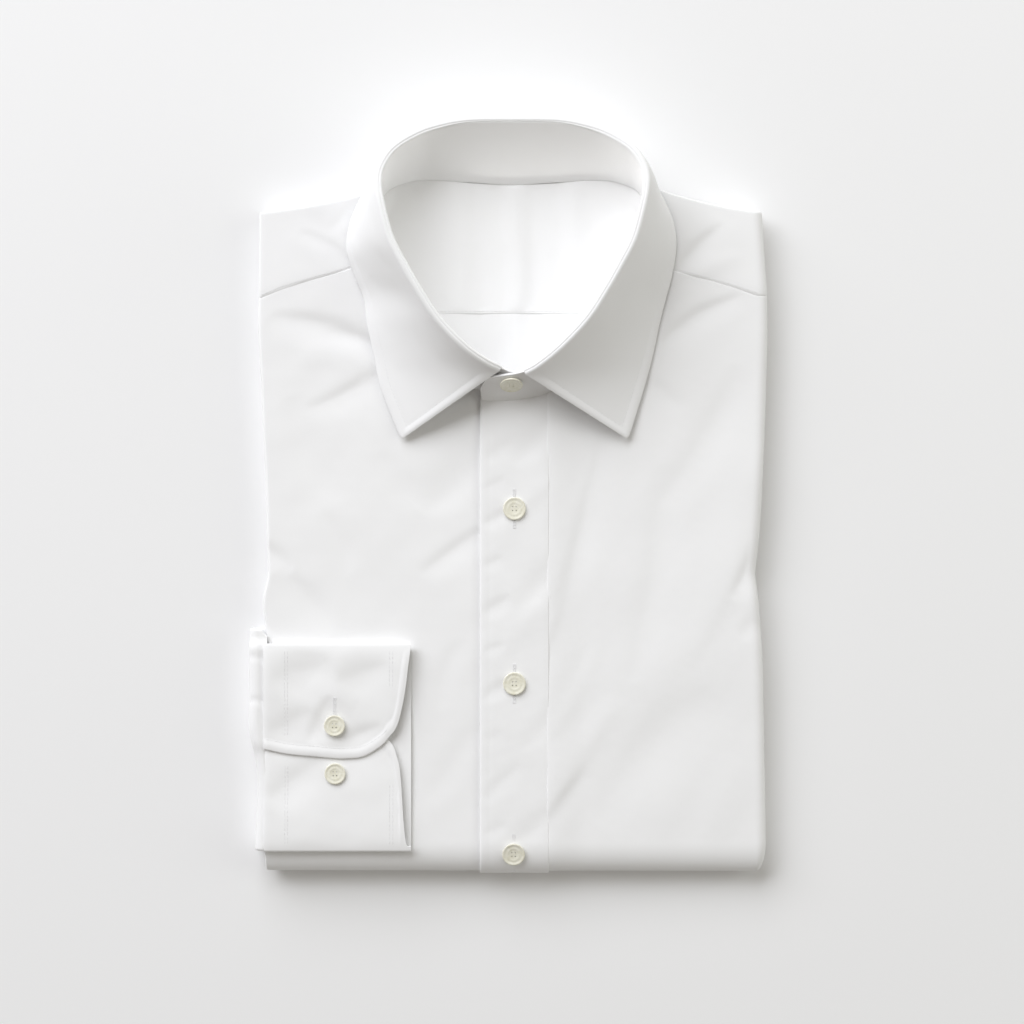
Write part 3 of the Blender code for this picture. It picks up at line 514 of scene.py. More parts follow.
def grid_mesh(name, columns, rows, surface, ring=False, lids=False):
    """A mesh on a grid: surface gives every point, in millimetres, from arrays of columns and rows.

    A ring's first and last columns are joined, and lids close it above and below.
    """
    grid = bmesh.new()
    bmesh.ops.create_grid(grid, x_segments=columns, y_segments=rows, size=1.0)
    mesh = as_mesh(name, grid)
    flat = np.empty(len(mesh.vertices) * 3, dtype=np.float32)
    mesh.vertices.foreach_get("co", flat)
    flat = flat.reshape(-1, 3)
    column = np.rint((flat[:, 0] + 1) / 2 * columns).astype(float)
    row = np.rint((flat[:, 1] + 1) / 2 * rows).astype(float)
    placed = surface(column, row) * MM
    mesh.vertices.foreach_set("co", placed.astype(np.float32).ravel())
    if ring:
        closing = bmesh.new()
        closing.from_mesh(mesh)
        bmesh.ops.remove_doubles(closing, verts=closing.verts, dist=0.01 * MM)
        if lids:
            open_edges = [edge for edge in closing.edges if edge.is_boundary]
            bmesh.ops.holes_fill(closing, edges=open_edges, sides=0)
            bmesh.ops.recalc_face_normals(closing, faces=closing.faces)
        closing.to_mesh(mesh)
        closing.free()
    mesh.update()
    return mesh


def add_piece(name, mesh, finish, node=None):
    """Show a mesh as part of the shirt, in place of the node named."""
    piece = new_object(name, mesh)
    piece.data.materials.append(finish)
    piece.data.shade_smooth()
    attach(piece, "root")
    if node:
        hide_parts(node)
    return piece


def cloth(name, node, surface, grid, wall, slot="poplin", offset=-1.0, ring=False):
    """A wall of cloth with rounded cut edges, on a grid of (columns, rows), lying on the piece below.

    The surface is its top, or its middle where the offset is 0.
    """
    piece = add_piece(name, grid_mesh(name, *grid, surface, ring), FINISHES[slot], node)
    thicken = piece.modifiers.new("wall", "SOLIDIFY")
    thicken.thickness = wall * MM
    thicken.offset = offset
    thicken.use_even_offset = False
    rounded = piece.modifiers.new("rim", "BEVEL")
    rounded.width = min(RIM, wall * 0.4) * MM
    rounded.segments = 2
    rounded.limit_method = "ANGLE"
    rounded.angle_limit = radians(55)
    rounded.use_clamp_overlap = True


def new_finish(name, values):
    """A material, its node tree and its shader, with the shader's inputs set to the values."""
    made = bpy.data.materials.new(name)
    made.use_nodes = True
    shader = made.node_tree.nodes["Principled BSDF"]
    for socket, value in values.items():
        shader.inputs[socket].default_value = value
    return made, made.node_tree, shader


def add_node(tree, kind, values=None, sources=None, **settings):
    """A shader node with its settings, its inputs' values and the outputs that feed it. Gives its outputs."""
    node = tree.nodes.new("ShaderNode" + kind)
    for setting, choice in settings.items():
        setattr(node, setting, choice)
    for socket, value in (values or {}).items():
        node.inputs[socket].default_value = value
    for socket, source in (sources or {}).items():
        tree.links.new(source, node.inputs[socket])
    return node.outputs


def bump(tree, height, strength):
    """A fine relief that only the light sees."""
    values = {"Strength": strength, "Distance": 0.05 * MM}
    return add_node(tree, "Bump", values, {"Height": height})["Normal"]


def weave(tree, place, strength):
    """Bump of a plain weave with uneven threads: two crossed sets of fine bands."""
    values = {"Scale": THREADS_PER_MM / MM / (2 * pi), "Distortion": 1.2, "Detail": 1.0}
    bands = [add_node(tree, "TexWave", values, {"Vector": place}, bands_direction=way)["Fac"]
             for way in ("X", "Y")]
    both = add_node(tree, "Math", sources=dict(enumerate(bands)), operation="ADD")
    return bump(tree, both["Value"], strength)


def cotton(name, white, roughness, weave_strength):
    """White cotton poplin: a fine plain weave, a faint mottle and a soft sheen."""
    made, tree, shader = new_finish(name, {"Roughness": roughness, "Specular IOR Level": 0.25,
                                           "Sheen Weight": 0.12, "Sheen Roughness": 0.5})
    place = add_node(tree, "TexCoord")["Object"]
    mottle = add_node(tree, "TexNoise", {"Scale": 60.0, "Detail": 3.0}, {"Vector": place})
    greyer = white * 0.985
    tones = add_node(tree, "Mix", {"A": (greyer, greyer, greyer, 1.0), "B": (white, white, white, 1.0)},
                     {"Factor": mottle["Fac"]}, data_type="RGBA")
    tree.links.new(tones["Result"], shader.inputs["Base Color"])
    tree.links.new(weave(tree, place, weave_strength), shader.inputs["Normal"])
    return made


def shell(name):
    """Cream button shell: a clouded pearl with a smooth gloss."""
    made, tree, shader = new_finish(name, {"Roughness": 0.28, "Specular IOR Level": 0.55,
                                           "Coat Weight": 0.4, "Coat Roughness": 0.08})
    place = add_node(tree, "TexCoord")["Object"]
    clouds = add_node(tree, "TexNoise", {"Scale": 320.0, "Detail": 4.0, "Distortion": 1.5}, {"Vector": place})
    tones = tree.nodes.new("ShaderNodeValToRGB")
    for stop, (position, colour) in zip(tones.color_ramp.elements, PEARL):
        stop.position = position
        stop.color = (*colour, 1.0)
    tree.links.new(clouds["Fac"], tones.inputs["Fac"])
    tree.links.new(tones.outputs["Color"], shader.inputs["Base Color"])
    return made


def thread(name, colour):
    """Sewing thread with a fine twist."""
    made, tree, shader = new_finish(name, {"Base Color": (*colour, 1.0), "Roughness": 0.6})
    place = add_node(tree, "TexCoord")["Object"]
    twist = add_node(tree, "TexNoise", {"Scale": 6000.0}, {"Vector": place})
    tree.links.new(bump(tree, twist["Fac"], 0.3), shader.inputs["Normal"])
    return made


FINISHES = {
    "poplin": cotton("poplin", 0.925, 0.85, 0.25),
    "fused_poplin": cotton("fused_poplin", 0.93, 0.8, 0.2),
    "button_shell": shell("button_shell"),
}
SEWING = thread("sewing_thread", (0.84, 0.84, 0.845))


def front_relief(x, y, folds, seed):
    """Height of a front's folds, with a broad unevenness all over."""
    return (relief(x, y, folds) + 0.20 * uneven(x, y, 62, seed) + 0.07 * uneven(x, y, 23, seed + 1)
            + 0.018 * uneven(x, y, 8, seed + 2))


def lowered(x, y):
    """Places near the bottom, moved so that the bottom fold follows its own line."""
    return y + ease((-120 - y) / 60) * (along(BOTTOM_LINE, x) - BOTTOM)


def panel_points(x, y, height, side, end, way):
    """Points of a front: flat at x, y, or past its side and its bottom edge."""
    out_side, out_end, down, corner = over_edge(side, end)
    drop = mix(SIDE_DOWN, BOTTOM_DOWN, corner)
    wavy = uneven(x, y, 40, 9) * 0.25 * ease(down)
    ear = ease(side * 2) * np.exp(-((y - EAR_AT) / 3.0) ** 2) * (way > 0)
    return points(x + way * (REACH[way] * out_side + wavy + ear), lowered(x, y) - BOTTOM_OUT * out_end,
                  height * (1 - drop * down / STACK_TOP))


def front(place, row, neck_columns, ends, neck, seam, side_line, height, way):
    """A front: along the collar band, on under the yoke's seam, then over its side and its bottom fold.

    place counts the columns outwards from its end at the strip, and ends are where its neck edge starts and
    stops. way is 1 on the wearer's left side and -1 on the right.
    """
    share, end = split(PANEL_ROWS + BOTTOM_ROWS - row, PANEL_ROWS, BOTTOM_ROWS)
    past_neck = place - neck_columns
    _, side = split(past_neck, SEAM_COLUMNS, SIDE_COLUMNS)
    toward_side = np.clip(past_neck / SEAM_COLUMNS, 0, 1)
    on_neck = mix(*ends, np.minimum(place / neck_columns, 1))
    on_seam = mix(ends[1], side_line[-2][1] - way * REACH[way], toward_side)
    tucked = ease(past_neck / 2)
    top = np.where(past_neck <= 0, along(neck, on_neck), along(seam, on_seam)) + TUCK * tucked
    y = mix(top, BOTTOM + BOTTOM_OUT, share ** FINER_AT_SEAM)
    edge = along(side_line, y) - way * REACH[way]
    x = np.where(past_neck <= 0, on_neck, mix(ends[1], edge, toward_side))
    under = ease((y - top + TUCK + 0.1) / 0.35) * tucked
    return panel_points(x, y, height(x, y) - under, side, end, way)


def left_front_height(x, y):
    """It climbs to the strip at its seam, and sinks a little towards the lower side."""
    lift = (PLACKET_TOP - STACK_TOP) * (1 - ease((x - PLACKET_RIGHT) / 19.0))
    groove = 0.05 * (1 - ease((x - PLACKET_RIGHT) / 1.2))
    settled = 1.3 * ease((x - 40) / 90) * ease((-50 - y) / 110)
    return STACK_TOP - 0.1 + lift - groove - settled + front_relief(x, y, LEFT_FRONT_FOLDS, 3)


def left_front(column, row):
    """From a little under the strip's seam to the side."""
    ends = LEFT_NECK[0][0] - UNDER_STRIP, LEFT_NECK[-1][0]
    return front(column, row, LEFT_NECK_COLUMNS, ends, LEFT_NECK, SEAM_RIGHT, RIGHT_SIDE,
                 left_front_height, 1)


def right_front_height(x, y):
    """It stays level and a little lower where it runs on under the strip."""
    under = 0.35 * ease((x - PLACKET_LEFT + 4) / 4)
    shown = 1 - ease((x - PLACKET_LEFT) / 3)
    return STACK_TOP - 0.1 - under + front_relief(x, y, RIGHT_FRONT_FOLDS, 5) * shown


def right_front(column, row):
    """From the side to under the strip, its columns counted the other way."""
    ends = RIGHT_NECK[-1][0], RIGHT_NECK[0][0]
    place = RIGHT_NECK_COLUMNS + SEAM_COLUMNS + SIDE_COLUMNS - column
    return front(place, row, RIGHT_NECK_COLUMNS, ends, RIGHT_NECK, SEAM_LEFT, LEFT_SIDE,
                 right_front_height, -1)


def placket_height(x, y):
    """The strip's top: level, with small puckers, a rolled left edge and a stitched right seam."""
    roll = 0.5 * (1 - ease((x - PLACKET_LEFT) / 0.9)) ** 2
    seam = 0.03 * np.exp(-((x - PLACKET_RIGHT) / 0.8) ** 2)
    edge_groove = 0.10 * np.exp(-((x - PLACKET_LEFT - EDGE_STITCH) / 0.8) ** 2)
    puff = 0.12 * ease((x - PLACKET_LEFT) / 3) * ease((PLACKET_RIGHT - x) / 3)
    return (PLACKET_TOP + puff - roll - seam - edge_groove + relief(x, y, PLACKET_FOLDS)
            + 0.10 * uneven(x, y, 26, 12) + 0.018 * uneven(x, y, 8, 13))


def strip_level(x, y):
    """The strip's top, down into its bottom fold."""
    past = np.clip((BOTTOM + BOTTOM_OUT - lowered(x, y)) / BOTTOM_OUT, 0, 0.98)
    return placket_height(x, y) - BOTTOM_DOWN * (1 - np.sqrt(1 - past**2))


def placket(column, row):
    """The strip, from under the collar band to its own bottom fold round the fronts' fold."""
    share, end = split(STRIP_ROWS + BOTTOM_ROWS - row, STRIP_ROWS, BOTTOM_ROWS)
    x = mix(PLACKET_LEFT, PLACKET_RIGHT, column / STRIP_COLUMNS)
    top = PLACKET_NECK + 3.0 + 2.0 * ease((x - PLACKET_RIGHT + 10) / 10)
    y = mix(top, BOTTOM + BOTTOM_OUT, share)
    angle = radians(145) * end
    higher = PLACKET_TOP - STACK_TOP
    out = (BOTTOM_OUT + 0.8 * higher) * np.sin(angle)
    return points(x, lowered(x, y) - out, placket_height(x, y) - (BOTTOM_DOWN + higher) * (1 - np.cos(angle)))


def yoke_height(x, y, height):
    return height + relief(x, y, YOKE_FOLDS) + 0.12 * uneven(x, y, 45, 21)


def yoke(column, row):
    """Over both shoulders and behind the neck, down over the stack's sides and top edge."""
    inward = np.clip(column - SIDE_COLUMNS, 0, YOKE_COLUMNS)
    side = np.abs(column - SIDE_COLUMNS - inward) / SIDE_COLUMNS
    line = straight(YOKE_LINES, inward / YOKE_COLUMNS)
    flat, end = split(row, YOKE_ROWS, BOTTOM_ROWS)
    out_side, out_end, down, corner = over_edge(side, end)
    way = np.where(column < SIDE_COLUMNS, -1, 1)
    drop = mix(SIDE_DOWN, SHOULDER_DOWN * line[:, 4] / STACK_TOP, corner)
    x = mix(line[:, 0], line[:, 2], flat)
    y = mix(line[:, 1], line[:, 3], flat)
    reach = np.where(way < 0, LEFT_OUT, SIDE_OUT)
    lower = 0.45 * np.exp(-25 * flat) + SHOULDER_FALL * flat
    return points(x + way * reach * out_side, y + SHOULDER_OUT * out_end,
                  yoke_height(x, y, line[:, 4]) - lower - drop * down)


def inside_swell(x, y):
    """The inside of the back, a little fuller in its middle."""
    return 1.8 * (1 - ((x - MIDDLE) / 72) ** 2) * ease((y - 52) / 34) * ease((158 - y) / 30)


def inside_pleats(x, y):
    """Soft upright folds inside the neck, with small puckers just above the seam."""
    spread = x * (1 - 0.0016 * (y - 120))
    upright = 0.34 * np.sin(spread / 2.3 + 0.8 * np.sin(y / 23)) * np.exp(-((x - 8) / 36) ** 2)
    broad = 0.75 * np.sin(spread / 5.2 + 0.7 * np.sin(x / 19) + 0.8)
    near_seam = np.exp(-((y - INNER_SEAM) / 5) ** 2)
    return (upright + broad) * 0.75 + 0.16 * near_seam * np.sin(x / 1.55) * ease((45 - abs(x)) / 15)


def inner_yoke(column, row):
    """From its seam with the back up to the collar band, turned up a little along its sides."""
    across = 2 * column / INNER_YOKE_GRID[0] - 1
    y = mix(INNER_SEAM, along(INNER_YOKE_BACK, abs(across)), row / INNER_YOKE_GRID[1])
    width = along(INNER_YOKE_WIDTHS, y)
    x = MIDDLE + across * width
    rise = INNER_RISE * ease((y - INNER_RISE_START) / (INNER_YOKE_BACK[0][1] - INNER_RISE_START))
    from_side = (1 - abs(across)) * width
    lift = along(INNER_YOKE_LIFT, y) * (1 - ease(from_side / INNER_YOKE_SLOPE))
    fade = ease((y - INNER_SEAM + 2) / 6) * ease((along(INNER_YOKE_BACK, abs(across)) - y + 1.5) / 5)
    return points(x, y, INSIDE_TOP + 0.25 + rise + lift + inside_swell(x, y) + inside_pleats(x, y) * fade)


def back_panel(column, row):
    """The inside of the back, running on a little under the inner yoke."""
    across = 2 * column / BACK_GRID[0] - 1
    y = mix(BACK_WIDTHS[0][0], INNER_SEAM + 3, row / BACK_GRID[1])
    x = MIDDLE + across * along(BACK_WIDTHS, y)
    under = 0.5 * ease((y - INNER_SEAM + 0.2) / 1.2)
    return points(x, y, INSIDE_TOP - 0.05 - under + inside_swell(x, y) + 0.5 * inside_pleats(x, y)
                  + 0.2 * uneven(x, y, 30, 31))


def collar_lines(around):
    """The collar's guide points at places from -1, one front, through 0, the back, to 1, the other front."""
    row = curved(COLLAR, np.abs(around))
    way = np.where(around >= 0, 1.0, -1.0)
    fold, seam, edge = row[:, 0:3].copy(), row[:, 3:6].copy(), row[:, 6:9].copy()
    edge[:, 0] += np.where(way < 0, row[:, 9], 0)
    under = np.where(way < 0, ease((np.abs(around) - 0.82) / 0.16), 0)[:, None] * np.array(UNDER_SHIFT)
    fold += under
    seam += under
    for line in (fold, seam, edge):
        line[:, 0] = MIDDLE + way * line[:, 0]
    fold[:, 2] -= FOLD_RADIUS + LEAF_WALL / 2
    return fold, seam, edge, row[:, 10]


def outward(around):
    """Level directions square to the collar's fold, away from the neck."""
    step = 0.01
    run = collar_lines(np.minimum(around + step, 1))[0] - collar_lines(np.maximum(around - step, -1))[0]
    out = np.stack([-run[:, 1], run[:, 0], np.zeros(len(run))], axis=1)
    return out / np.linalg.norm(out, axis=1, keepdims=True)


UP = np.array([0.0, 0.0, 1.0])


def fold_points(centre, out, angle, radius=FOLD_RADIUS):
    """Points on the round of the collar's fold: angle 0 is outermost, a quarter turn is its top."""
    return centre + radius * (np.cos(angle)[:, None] * out + np.sin(angle)[:, None] * UP)


def fold_start(around):
    """Where the band meets the leaf, at the start of the fold, and the angle it arrives at."""
    centre, seam, _, _ = collar_lines(around)
    out = outward(around)
    rise = centre - seam
    start = pi / 2 + np.arctan2(rise[:, 2], (rise * out).sum(axis=1))
    return fold_points(centre, out, start), start


def band_lines(around):
    """Top edge and neck seam of the band, in the order of the end tables' columns."""
    return np.concatenate([fold_start(around)[0], collar_lines(around)[1]], axis=1)


def collar_band(column, row):
    """From the inner end at one front, round the neck, to the outer end that crosses the placket."""
    to_inner = BAND_END_COLUMNS - column
    to_outer = column - BAND_COLUMNS - BAND_END_COLUMNS
    inner = np.concatenate([band_lines(np.array([-1.0])), np.array(INNER_END)])
    outer = np.concatenate([band_lines(np.array([1.0])), np.array(OUTER_END)])
    line = band_lines(np.clip(-1 - 2 * to_inner / BAND_COLUMNS, -1, 1))
    line = np.where(to_inner[:, None] > 0, curved(inner, to_inner / BAND_END_COLUMNS), line)
    line = np.where(to_outer[:, None] > 0, curved(outer, to_outer / BAND_END_COLUMNS), line)
    top, seam = line[:, 0:3], line[:, 3:6]
    out = (seam - NECK_CENTRE) * [1, 1, 0]
    out /= np.linalg.norm(out, axis=1, keepdims=True)
    share = (row / BAND_ROWS)[:, None]
    bow = BAND_BOW * 4 * share * (1 - share) * ease(-np.maximum(to_inner, to_outer) / 10)[:, None]
    return mix(seam, top, share) + out * bow


def leaf_around(column):
    """Place round the collar, with the columns closer together towards both points."""
    centre = 2 * column / LEAF_COLUMNS - 1
    return np.sign(centre) * np.interp(np.abs(centre), LEAF_COLUMN_SHARES, LEAF_PLACES)


def leaf_column(around):
    """Column of the leaf's grid at a place round the collar."""
    centre = np.sign(around) * np.interp(abs(around), LEAF_PLACES, LEAF_COLUMN_SHARES)
    return (1 + centre) / 2 * LEAF_COLUMNS


def from_front(around, share):
    """Distance from a leaf's front edge, at a share of the way down from the fold."""
    return (1 - np.abs(around)) / FRONT_STATION * mix(*FRONT_STEPS, share)


def roll_swell(angle):
    """The roll's seam: a groove just inside its top, then the band's rounded edge."""
    groove = 0.38 * np.exp(-((angle - radians(112)) / radians(10)) ** 2)
    ridge = 0.40 * np.exp(-((angle - radians(141)) / radians(15)) ** 2)
    return ridge - groove


def puffed(inset):
    """Share of its full height that a sewn edge has so far in: round at the edge, none at the stitching."""
    return ease((inset + 0.8) / 3.0) * (1 - ease((inset - 2.2) / (EDGE_STITCH - 1.8)))


def leaf_relief(around, share, length):
    """Height of the leaf's sewn edge and its soft unevenness."""
    from_edge = (1 - share) * length
    inset = np.minimum(from_edge, from_front(around, share))
    rim = EDGE_RISE * puffed(inset)
    groove = -0.06 * np.exp(-((inset - EDGE_STITCH) / 0.7) ** 2)
    ripple = 0.2 * uneven(around * 200, share * 50, 42, 44) + 0.06 * uneven(around * 200, share * 50, 15, 45)
    return (rim + groove) * ease((share - 0.03) * 6) + ripple * ease(share * 4)


def collar_leaf(column, row):
    """Over the fold and down to the leaf's edge, from one point to the other."""
    around = leaf_around(column)
    centre, _, edge, sag = collar_lines(around)
    out = outward(around)
    start = fold_start(around)[1]
    fall = edge - centre
    length = np.linalg.norm(fall, axis=1)
    slope = np.arctan2(-fall[:, 2], (fall * out).sum(axis=1))
    square = np.sin(slope)[:, None] * out + np.cos(slope)[:, None] * UP
    deep = np.where(around < 0, RIGHT_HOLLOW, LEFT_HOLLOW)
    hollow = deep * -fall[:, 2] * ease((np.abs(around) - 0.54) / 0.22)
    finish = pi / 2 - slope - np.arctan(4.2 * sag / length + hollow / LEAF_HOLLOW_REACH)
    angle = mix(start, finish, np.minimum(row / LEAF_FOLD_ROWS, 1))
    rolled = fold_points(centre, out, angle, FOLD_RADIUS + roll_swell(angle)[:, None])
    share = np.clip((row - LEAF_FOLD_ROWS) / LEAF_FALL_ROWS, 0, 1)
    bow = -sag * 3.4 * share * (1 - share) * (1.25 - 0.5 * share)
    bow = bow - hollow * (1 - np.exp(-share * length / LEAF_HOLLOW_REACH)) * (1 - share)
    placed = mix(rolled, edge, share[:, None]) + square * (bow + leaf_relief(around, share, length))[:, None]
    to_corner = (1 - share) * length + from_front(around, share)
    return placed - fall / length[:, None] * (POINT_ROUND * np.exp(-to_corner / 1.6))[:, None]


def cuff_height(x, y):
    return relief(x, y, CUFF_FOLDS) + 0.12 * uneven(x, y, 34, 51) + 0.05 * uneven(x, y, 15, 52)


def over_level(y):
    """Level of the flap on top, before its folds: a little higher towards the cuff's top fold."""
    return CUFF_OVER + CUFF_OVER_TILT * (y + 100) - TOP_DROP * np.exp((y - CUFF_FOLD_TOP) / TOP_REACH)


def under_level(y):
    """Level of the flap beneath: it rises towards the lower fold and rounds off just before it."""
    return CUFF_UNDER + CUFF_UNDER_TILT * (y + 140) - LOW_DROP * np.exp((CUFF_FOLD_LOW - y) / LOW_REACH)


def sewn_edge(inset):
    """The raised, topstitched edge of a flap."""
    return 0.34 * puffed(inset) - 0.06 * np.exp(-((inset - EDGE_STITCH) / 0.7) ** 2)


def to_flap_end(x, y, rows):
    """Roughly how far a place on a flap is from the flap's end."""
    end = along(rows, x)
    lean = along(rows, x + 0.5) - along(rows, x - 0.5)
    return np.abs(y - end) / np.sqrt(1 + lean**2)


def over_height(x, y):
    """Middle of the flap on top."""
    sewn = sewn_edge(to_flap_end(x, y, OVER_FLAP)) * ease((CUFF_FOLD_TOP - y) / 10)
    left_edge = 0.5 * (1 - ease((x - CUFF_LEFT) / 2.0))
    return over_level(y) + (cuff_height(x, y) + sewn) * ease((CUFF_FOLD_TOP - y) / 6) - left_edge


def under_height(x, y):
    """Middle of the flap beneath."""
    sewn = sewn_edge(to_flap_end(x, y, UNDER_FLAP)) * ease((y - CUFF_FOLD_LOW) / 10) * ease((x + 70) / 8)
    left_edge = 0.4 * (1 - ease((x - CUFF_LEFT) / 2.0))
    return (under_level(y) + (cuff_height(x, y) * ease((-118 - y) / 8) + sewn) * ease((y - CUFF_FOLD_LOW) / 6)
            - left_edge)


def cuff(column, row):
    """A ring of cloth pressed flat: flap on top, round the top fold, beneath, and round to the other flap."""
    x = mix(CUFF_LEFT, CUFF_RIGHT, 1 - (1 - column / CUFF_COLUMNS) ** CUFF_FINER_RIGHT)
    over, top_turn, beneath, low_turn, under = progress(row, CUFF_ROWS)
    over_y = mix(along(OVER_FLAP, x), CUFF_FOLD_TOP, over)
    under_y = mix(CUFF_FOLD_LOW, along(UNDER_FLAP, x), under)
    over_share = (1 + np.cos(pi * top_turn)) / 2
    under_share = (1 - np.cos(pi * low_turn)) / 2
    y = (over_y - CUFF_FOLD_LEAN * (1 - over_share)
         + (CUFF_FOLD_LOW - CUFF_FOLD_TOP + CUFF_FOLD_LEAN) * beneath + under_y - CUFF_FOLD_LOW
         + CUFF_FOLD_OUT * (np.sin(pi * top_turn) - np.sin(pi * low_turn)))
    z = (CUFF_LOW + (over_height(x, over_y) - CUFF_LOW) * over_share
         + (under_height(x, under_y) - CUFF_LOW) * under_share)
    return points(x, y, z)


def sleeve(column, row):
    """A flattened tube from the cuff, over the side and in under the stack."""
    rise, top_turn, fall, low_turn = progress(np.mod(column, sum(SLEEVE_COLUMNS)), SLEEVE_COLUMNS)
    lead, first, down, second, tail = progress(row, SLEEVE_ROWS)
    radius = (SLEEVE_INSIDE + SLEEVE_WALL) / 2
    high = SLEEVE_TOP - radius - SLEEVE_WALL / 2 - SLEEVE_TAPER * (1 - ease(lead))
    low = SLEEVE_BOTTOM + radius + SLEEVE_WALL / 2
    y = mix(low, high, rise - fall) + radius * (np.sin(pi * top_turn) - np.sin(pi * low_turn))
    away = radius * np.cos(pi * (top_turn + low_turn))
    start = CUFF_LEFT + 1.4
    outer = along(SLEEVE_REACH, y)
    bend = np.minimum(SLEEVE_TURN, start - outer)
    first, second = first * pi / 2, second * pi / 2
    x = (outer + bend * (2 - np.sin(first) - np.cos(second)) + (start - outer - bend) * (1 - lead)
         + (SLEEVE_END - outer - bend) * tail)
    past_cuff = ease((y - CUFF_TOP + 2) / 4)
    top = SLEEVE_HIGH - 1.8 * past_cuff - 0.9 * ease((OVER_FLAP[0][1] + 3 - y) / 6)
    z = (top - 0.8 * (1 - lead) + (SLEEVE_LOW + 2 * SLEEVE_TURN - top) * down
         - SLEEVE_TURN * (1 - np.cos(first) + np.sin(second)))
    pleat = sum(0.5 * np.exp(-((y - at) / width) ** 2) for at, width in SLEEVE_PLEATS)
    away = away * (1 - 0.5 * pleat) * (1 - 0.3 * past_cuff) - np.where(away > 0, 0.5 * pleat, 0)
    facing = pi / 2 + first + second
    return points(x + away * np.cos(facing), y, z + away * np.sin(facing))


def hidden_layers(column, row):
    """Round the stack's sides: edges of the folded layers, each a soft ridge of its own."""
    left, right, low, top = LAYERS_LEFT, LAYERS_RIGHT, LAYERS_LOW, LAYERS_TOP
    width, length, quarter = right - left, top - low, LAYERS_CORNER * pi / 2
    stops = np.cumsum([0] + [width, quarter, length, quarter] * 2)
    place = np.mod(column / LAYERS_GRID[0], 1.0) * stops[-1]
    centre_x = np.interp(place, stops, [left, right, right, right, right, left, left, left, left])
    centre_y = np.interp(place, stops, [low, low, low, top, top, top, top, low, low])
    turn = np.interp(place, stops, np.array([0, 0, 1, 1, 2, 2, 3, 3, 4]) * pi / 2)
    normal_x, normal_y = np.sin(turn), -np.cos(turn)
    height = row / LAYERS_GRID[1] * LAYERS_HIGH
    layer = np.minimum((height / LAYERS_HIGH * LAYERS).astype(int), LAYERS - 1)
    within = height / LAYERS_HIGH * LAYERS - layer
    ridge = np.sqrt(np.maximum(1 - (2 * within - 1) ** 2, 0))
    wander = uneven(place * 0.8, layer * 37.0, 70, 71) * 0.7
    edge = np.where(normal_x < 0, along(LEFT_SIDE, centre_y) - left + LAYERS_CORNER,
                    along(RIGHT_SIDE, centre_y) - right - LAYERS_CORNER)
    out = LAYERS_CORNER + 1.5 * (ridge - 1) + wander - 0.9 - 0.5 * (layer % 2) + edge * normal_x
    return points(centre_x + normal_x * out, centre_y + normal_y * out, height + 0.02)


def surface_run(path):
    """Middles and directions of stitches, evenly spaced along a line of 3-D points."""
    steps = np.linalg.norm(np.diff(path, axis=0), axis=1)
    distance = np.concatenate([[0], np.cumsum(steps)])
    count = max(int(distance[-1] / STITCH), 1)
    places = (np.arange(count) + 0.5) * distance[-1] / count
    spots, ahead, behind = (
        np.stack([np.interp(places + shift, distance, path[:, k]) for k in range(3)], axis=1)
        for shift in (0, 0.3, -0.3)
    )
    run = ahead - behind
    return spots, run / np.maximum(np.linalg.norm(run, axis=1, keepdims=True), 1e-9)


def stitches(name, paths, thick=THREAD):
    """Short raised stitches along each path, joined into one mesh."""
    angles = np.arange(STITCH_SIDES) * 2 * pi / STITCH_SIDES
    sewn = bmesh.new()
    for path in paths:
        for spot, run in zip(*surface_run(path)):
            side = np.cross(run, UP)
            side /= max(np.linalg.norm(side), 1e-9)
            up = np.cross(side, run)
            loops = []
            for forward, fat in STITCH_RINGS:
                middle = spot + run * forward * (STITCH - STITCH_GAP)
                loops.append([sewn.verts.new((middle + thick * fat * (cos(a) * side + sin(a) * up)) * MM)
                              for a in angles])
            for first, second in zip(loops, loops[1:]):
                for k in range(STITCH_SIDES):
                    after = (k + 1) % STITCH_SIDES
                    sewn.faces.new((first[k], first[after], second[after], second[k]))
            sewn.faces.new(loops[0][::-1])
            sewn.faces.new(loops[-1])
    bmesh.ops.recalc_face_normals(sewn, faces=sewn.faces)
    add_piece(name, as_mesh(name, sewn), SEWING)


def on_leaf(around, share):
    """A place on the leaf, just above its cloth."""
    row = LEAF_FOLD_ROWS + LEAF_FALL_ROWS * share
    place = collar_leaf(np.array([leaf_column(around)]), np.array([row]))[0]
    return place + UP * (LEAF_WALL / 2 + 0.04)


def leaf_stitch_paths():
    """Along the outer edge and both front edges of the leaf, a little way in."""
    corner = 1 - EDGE_STITCH / CORNER_STEP * FRONT_STATION
    outer = []
    for around in np.linspace(-corner, corner, 400):
        centre, _, edge, _ = collar_lines(np.array([around]))
        outer.append(on_leaf(around, 1 - EDGE_STITCH / np.linalg.norm(edge - centre)))
    shares = np.linspace(0.08, 0.9, 60)
    insets = EDGE_STITCH * FRONT_STATION / mix(*FRONT_STEPS, shares)
    fronts = [[on_leaf(way * (1 - inset), share) for inset, share in zip(insets, shares)] for way in (-1, 1)]
    return [np.array(path) for path in (outer, *fronts)]


def on_top(x, y, height, lift=0.04):
    """A path over a surface whose top is given by a height function."""
    x, y = np.asarray(x, dtype=float), np.asarray(y, dtype=float)
    return points(x, y, height(x, y) + lift)


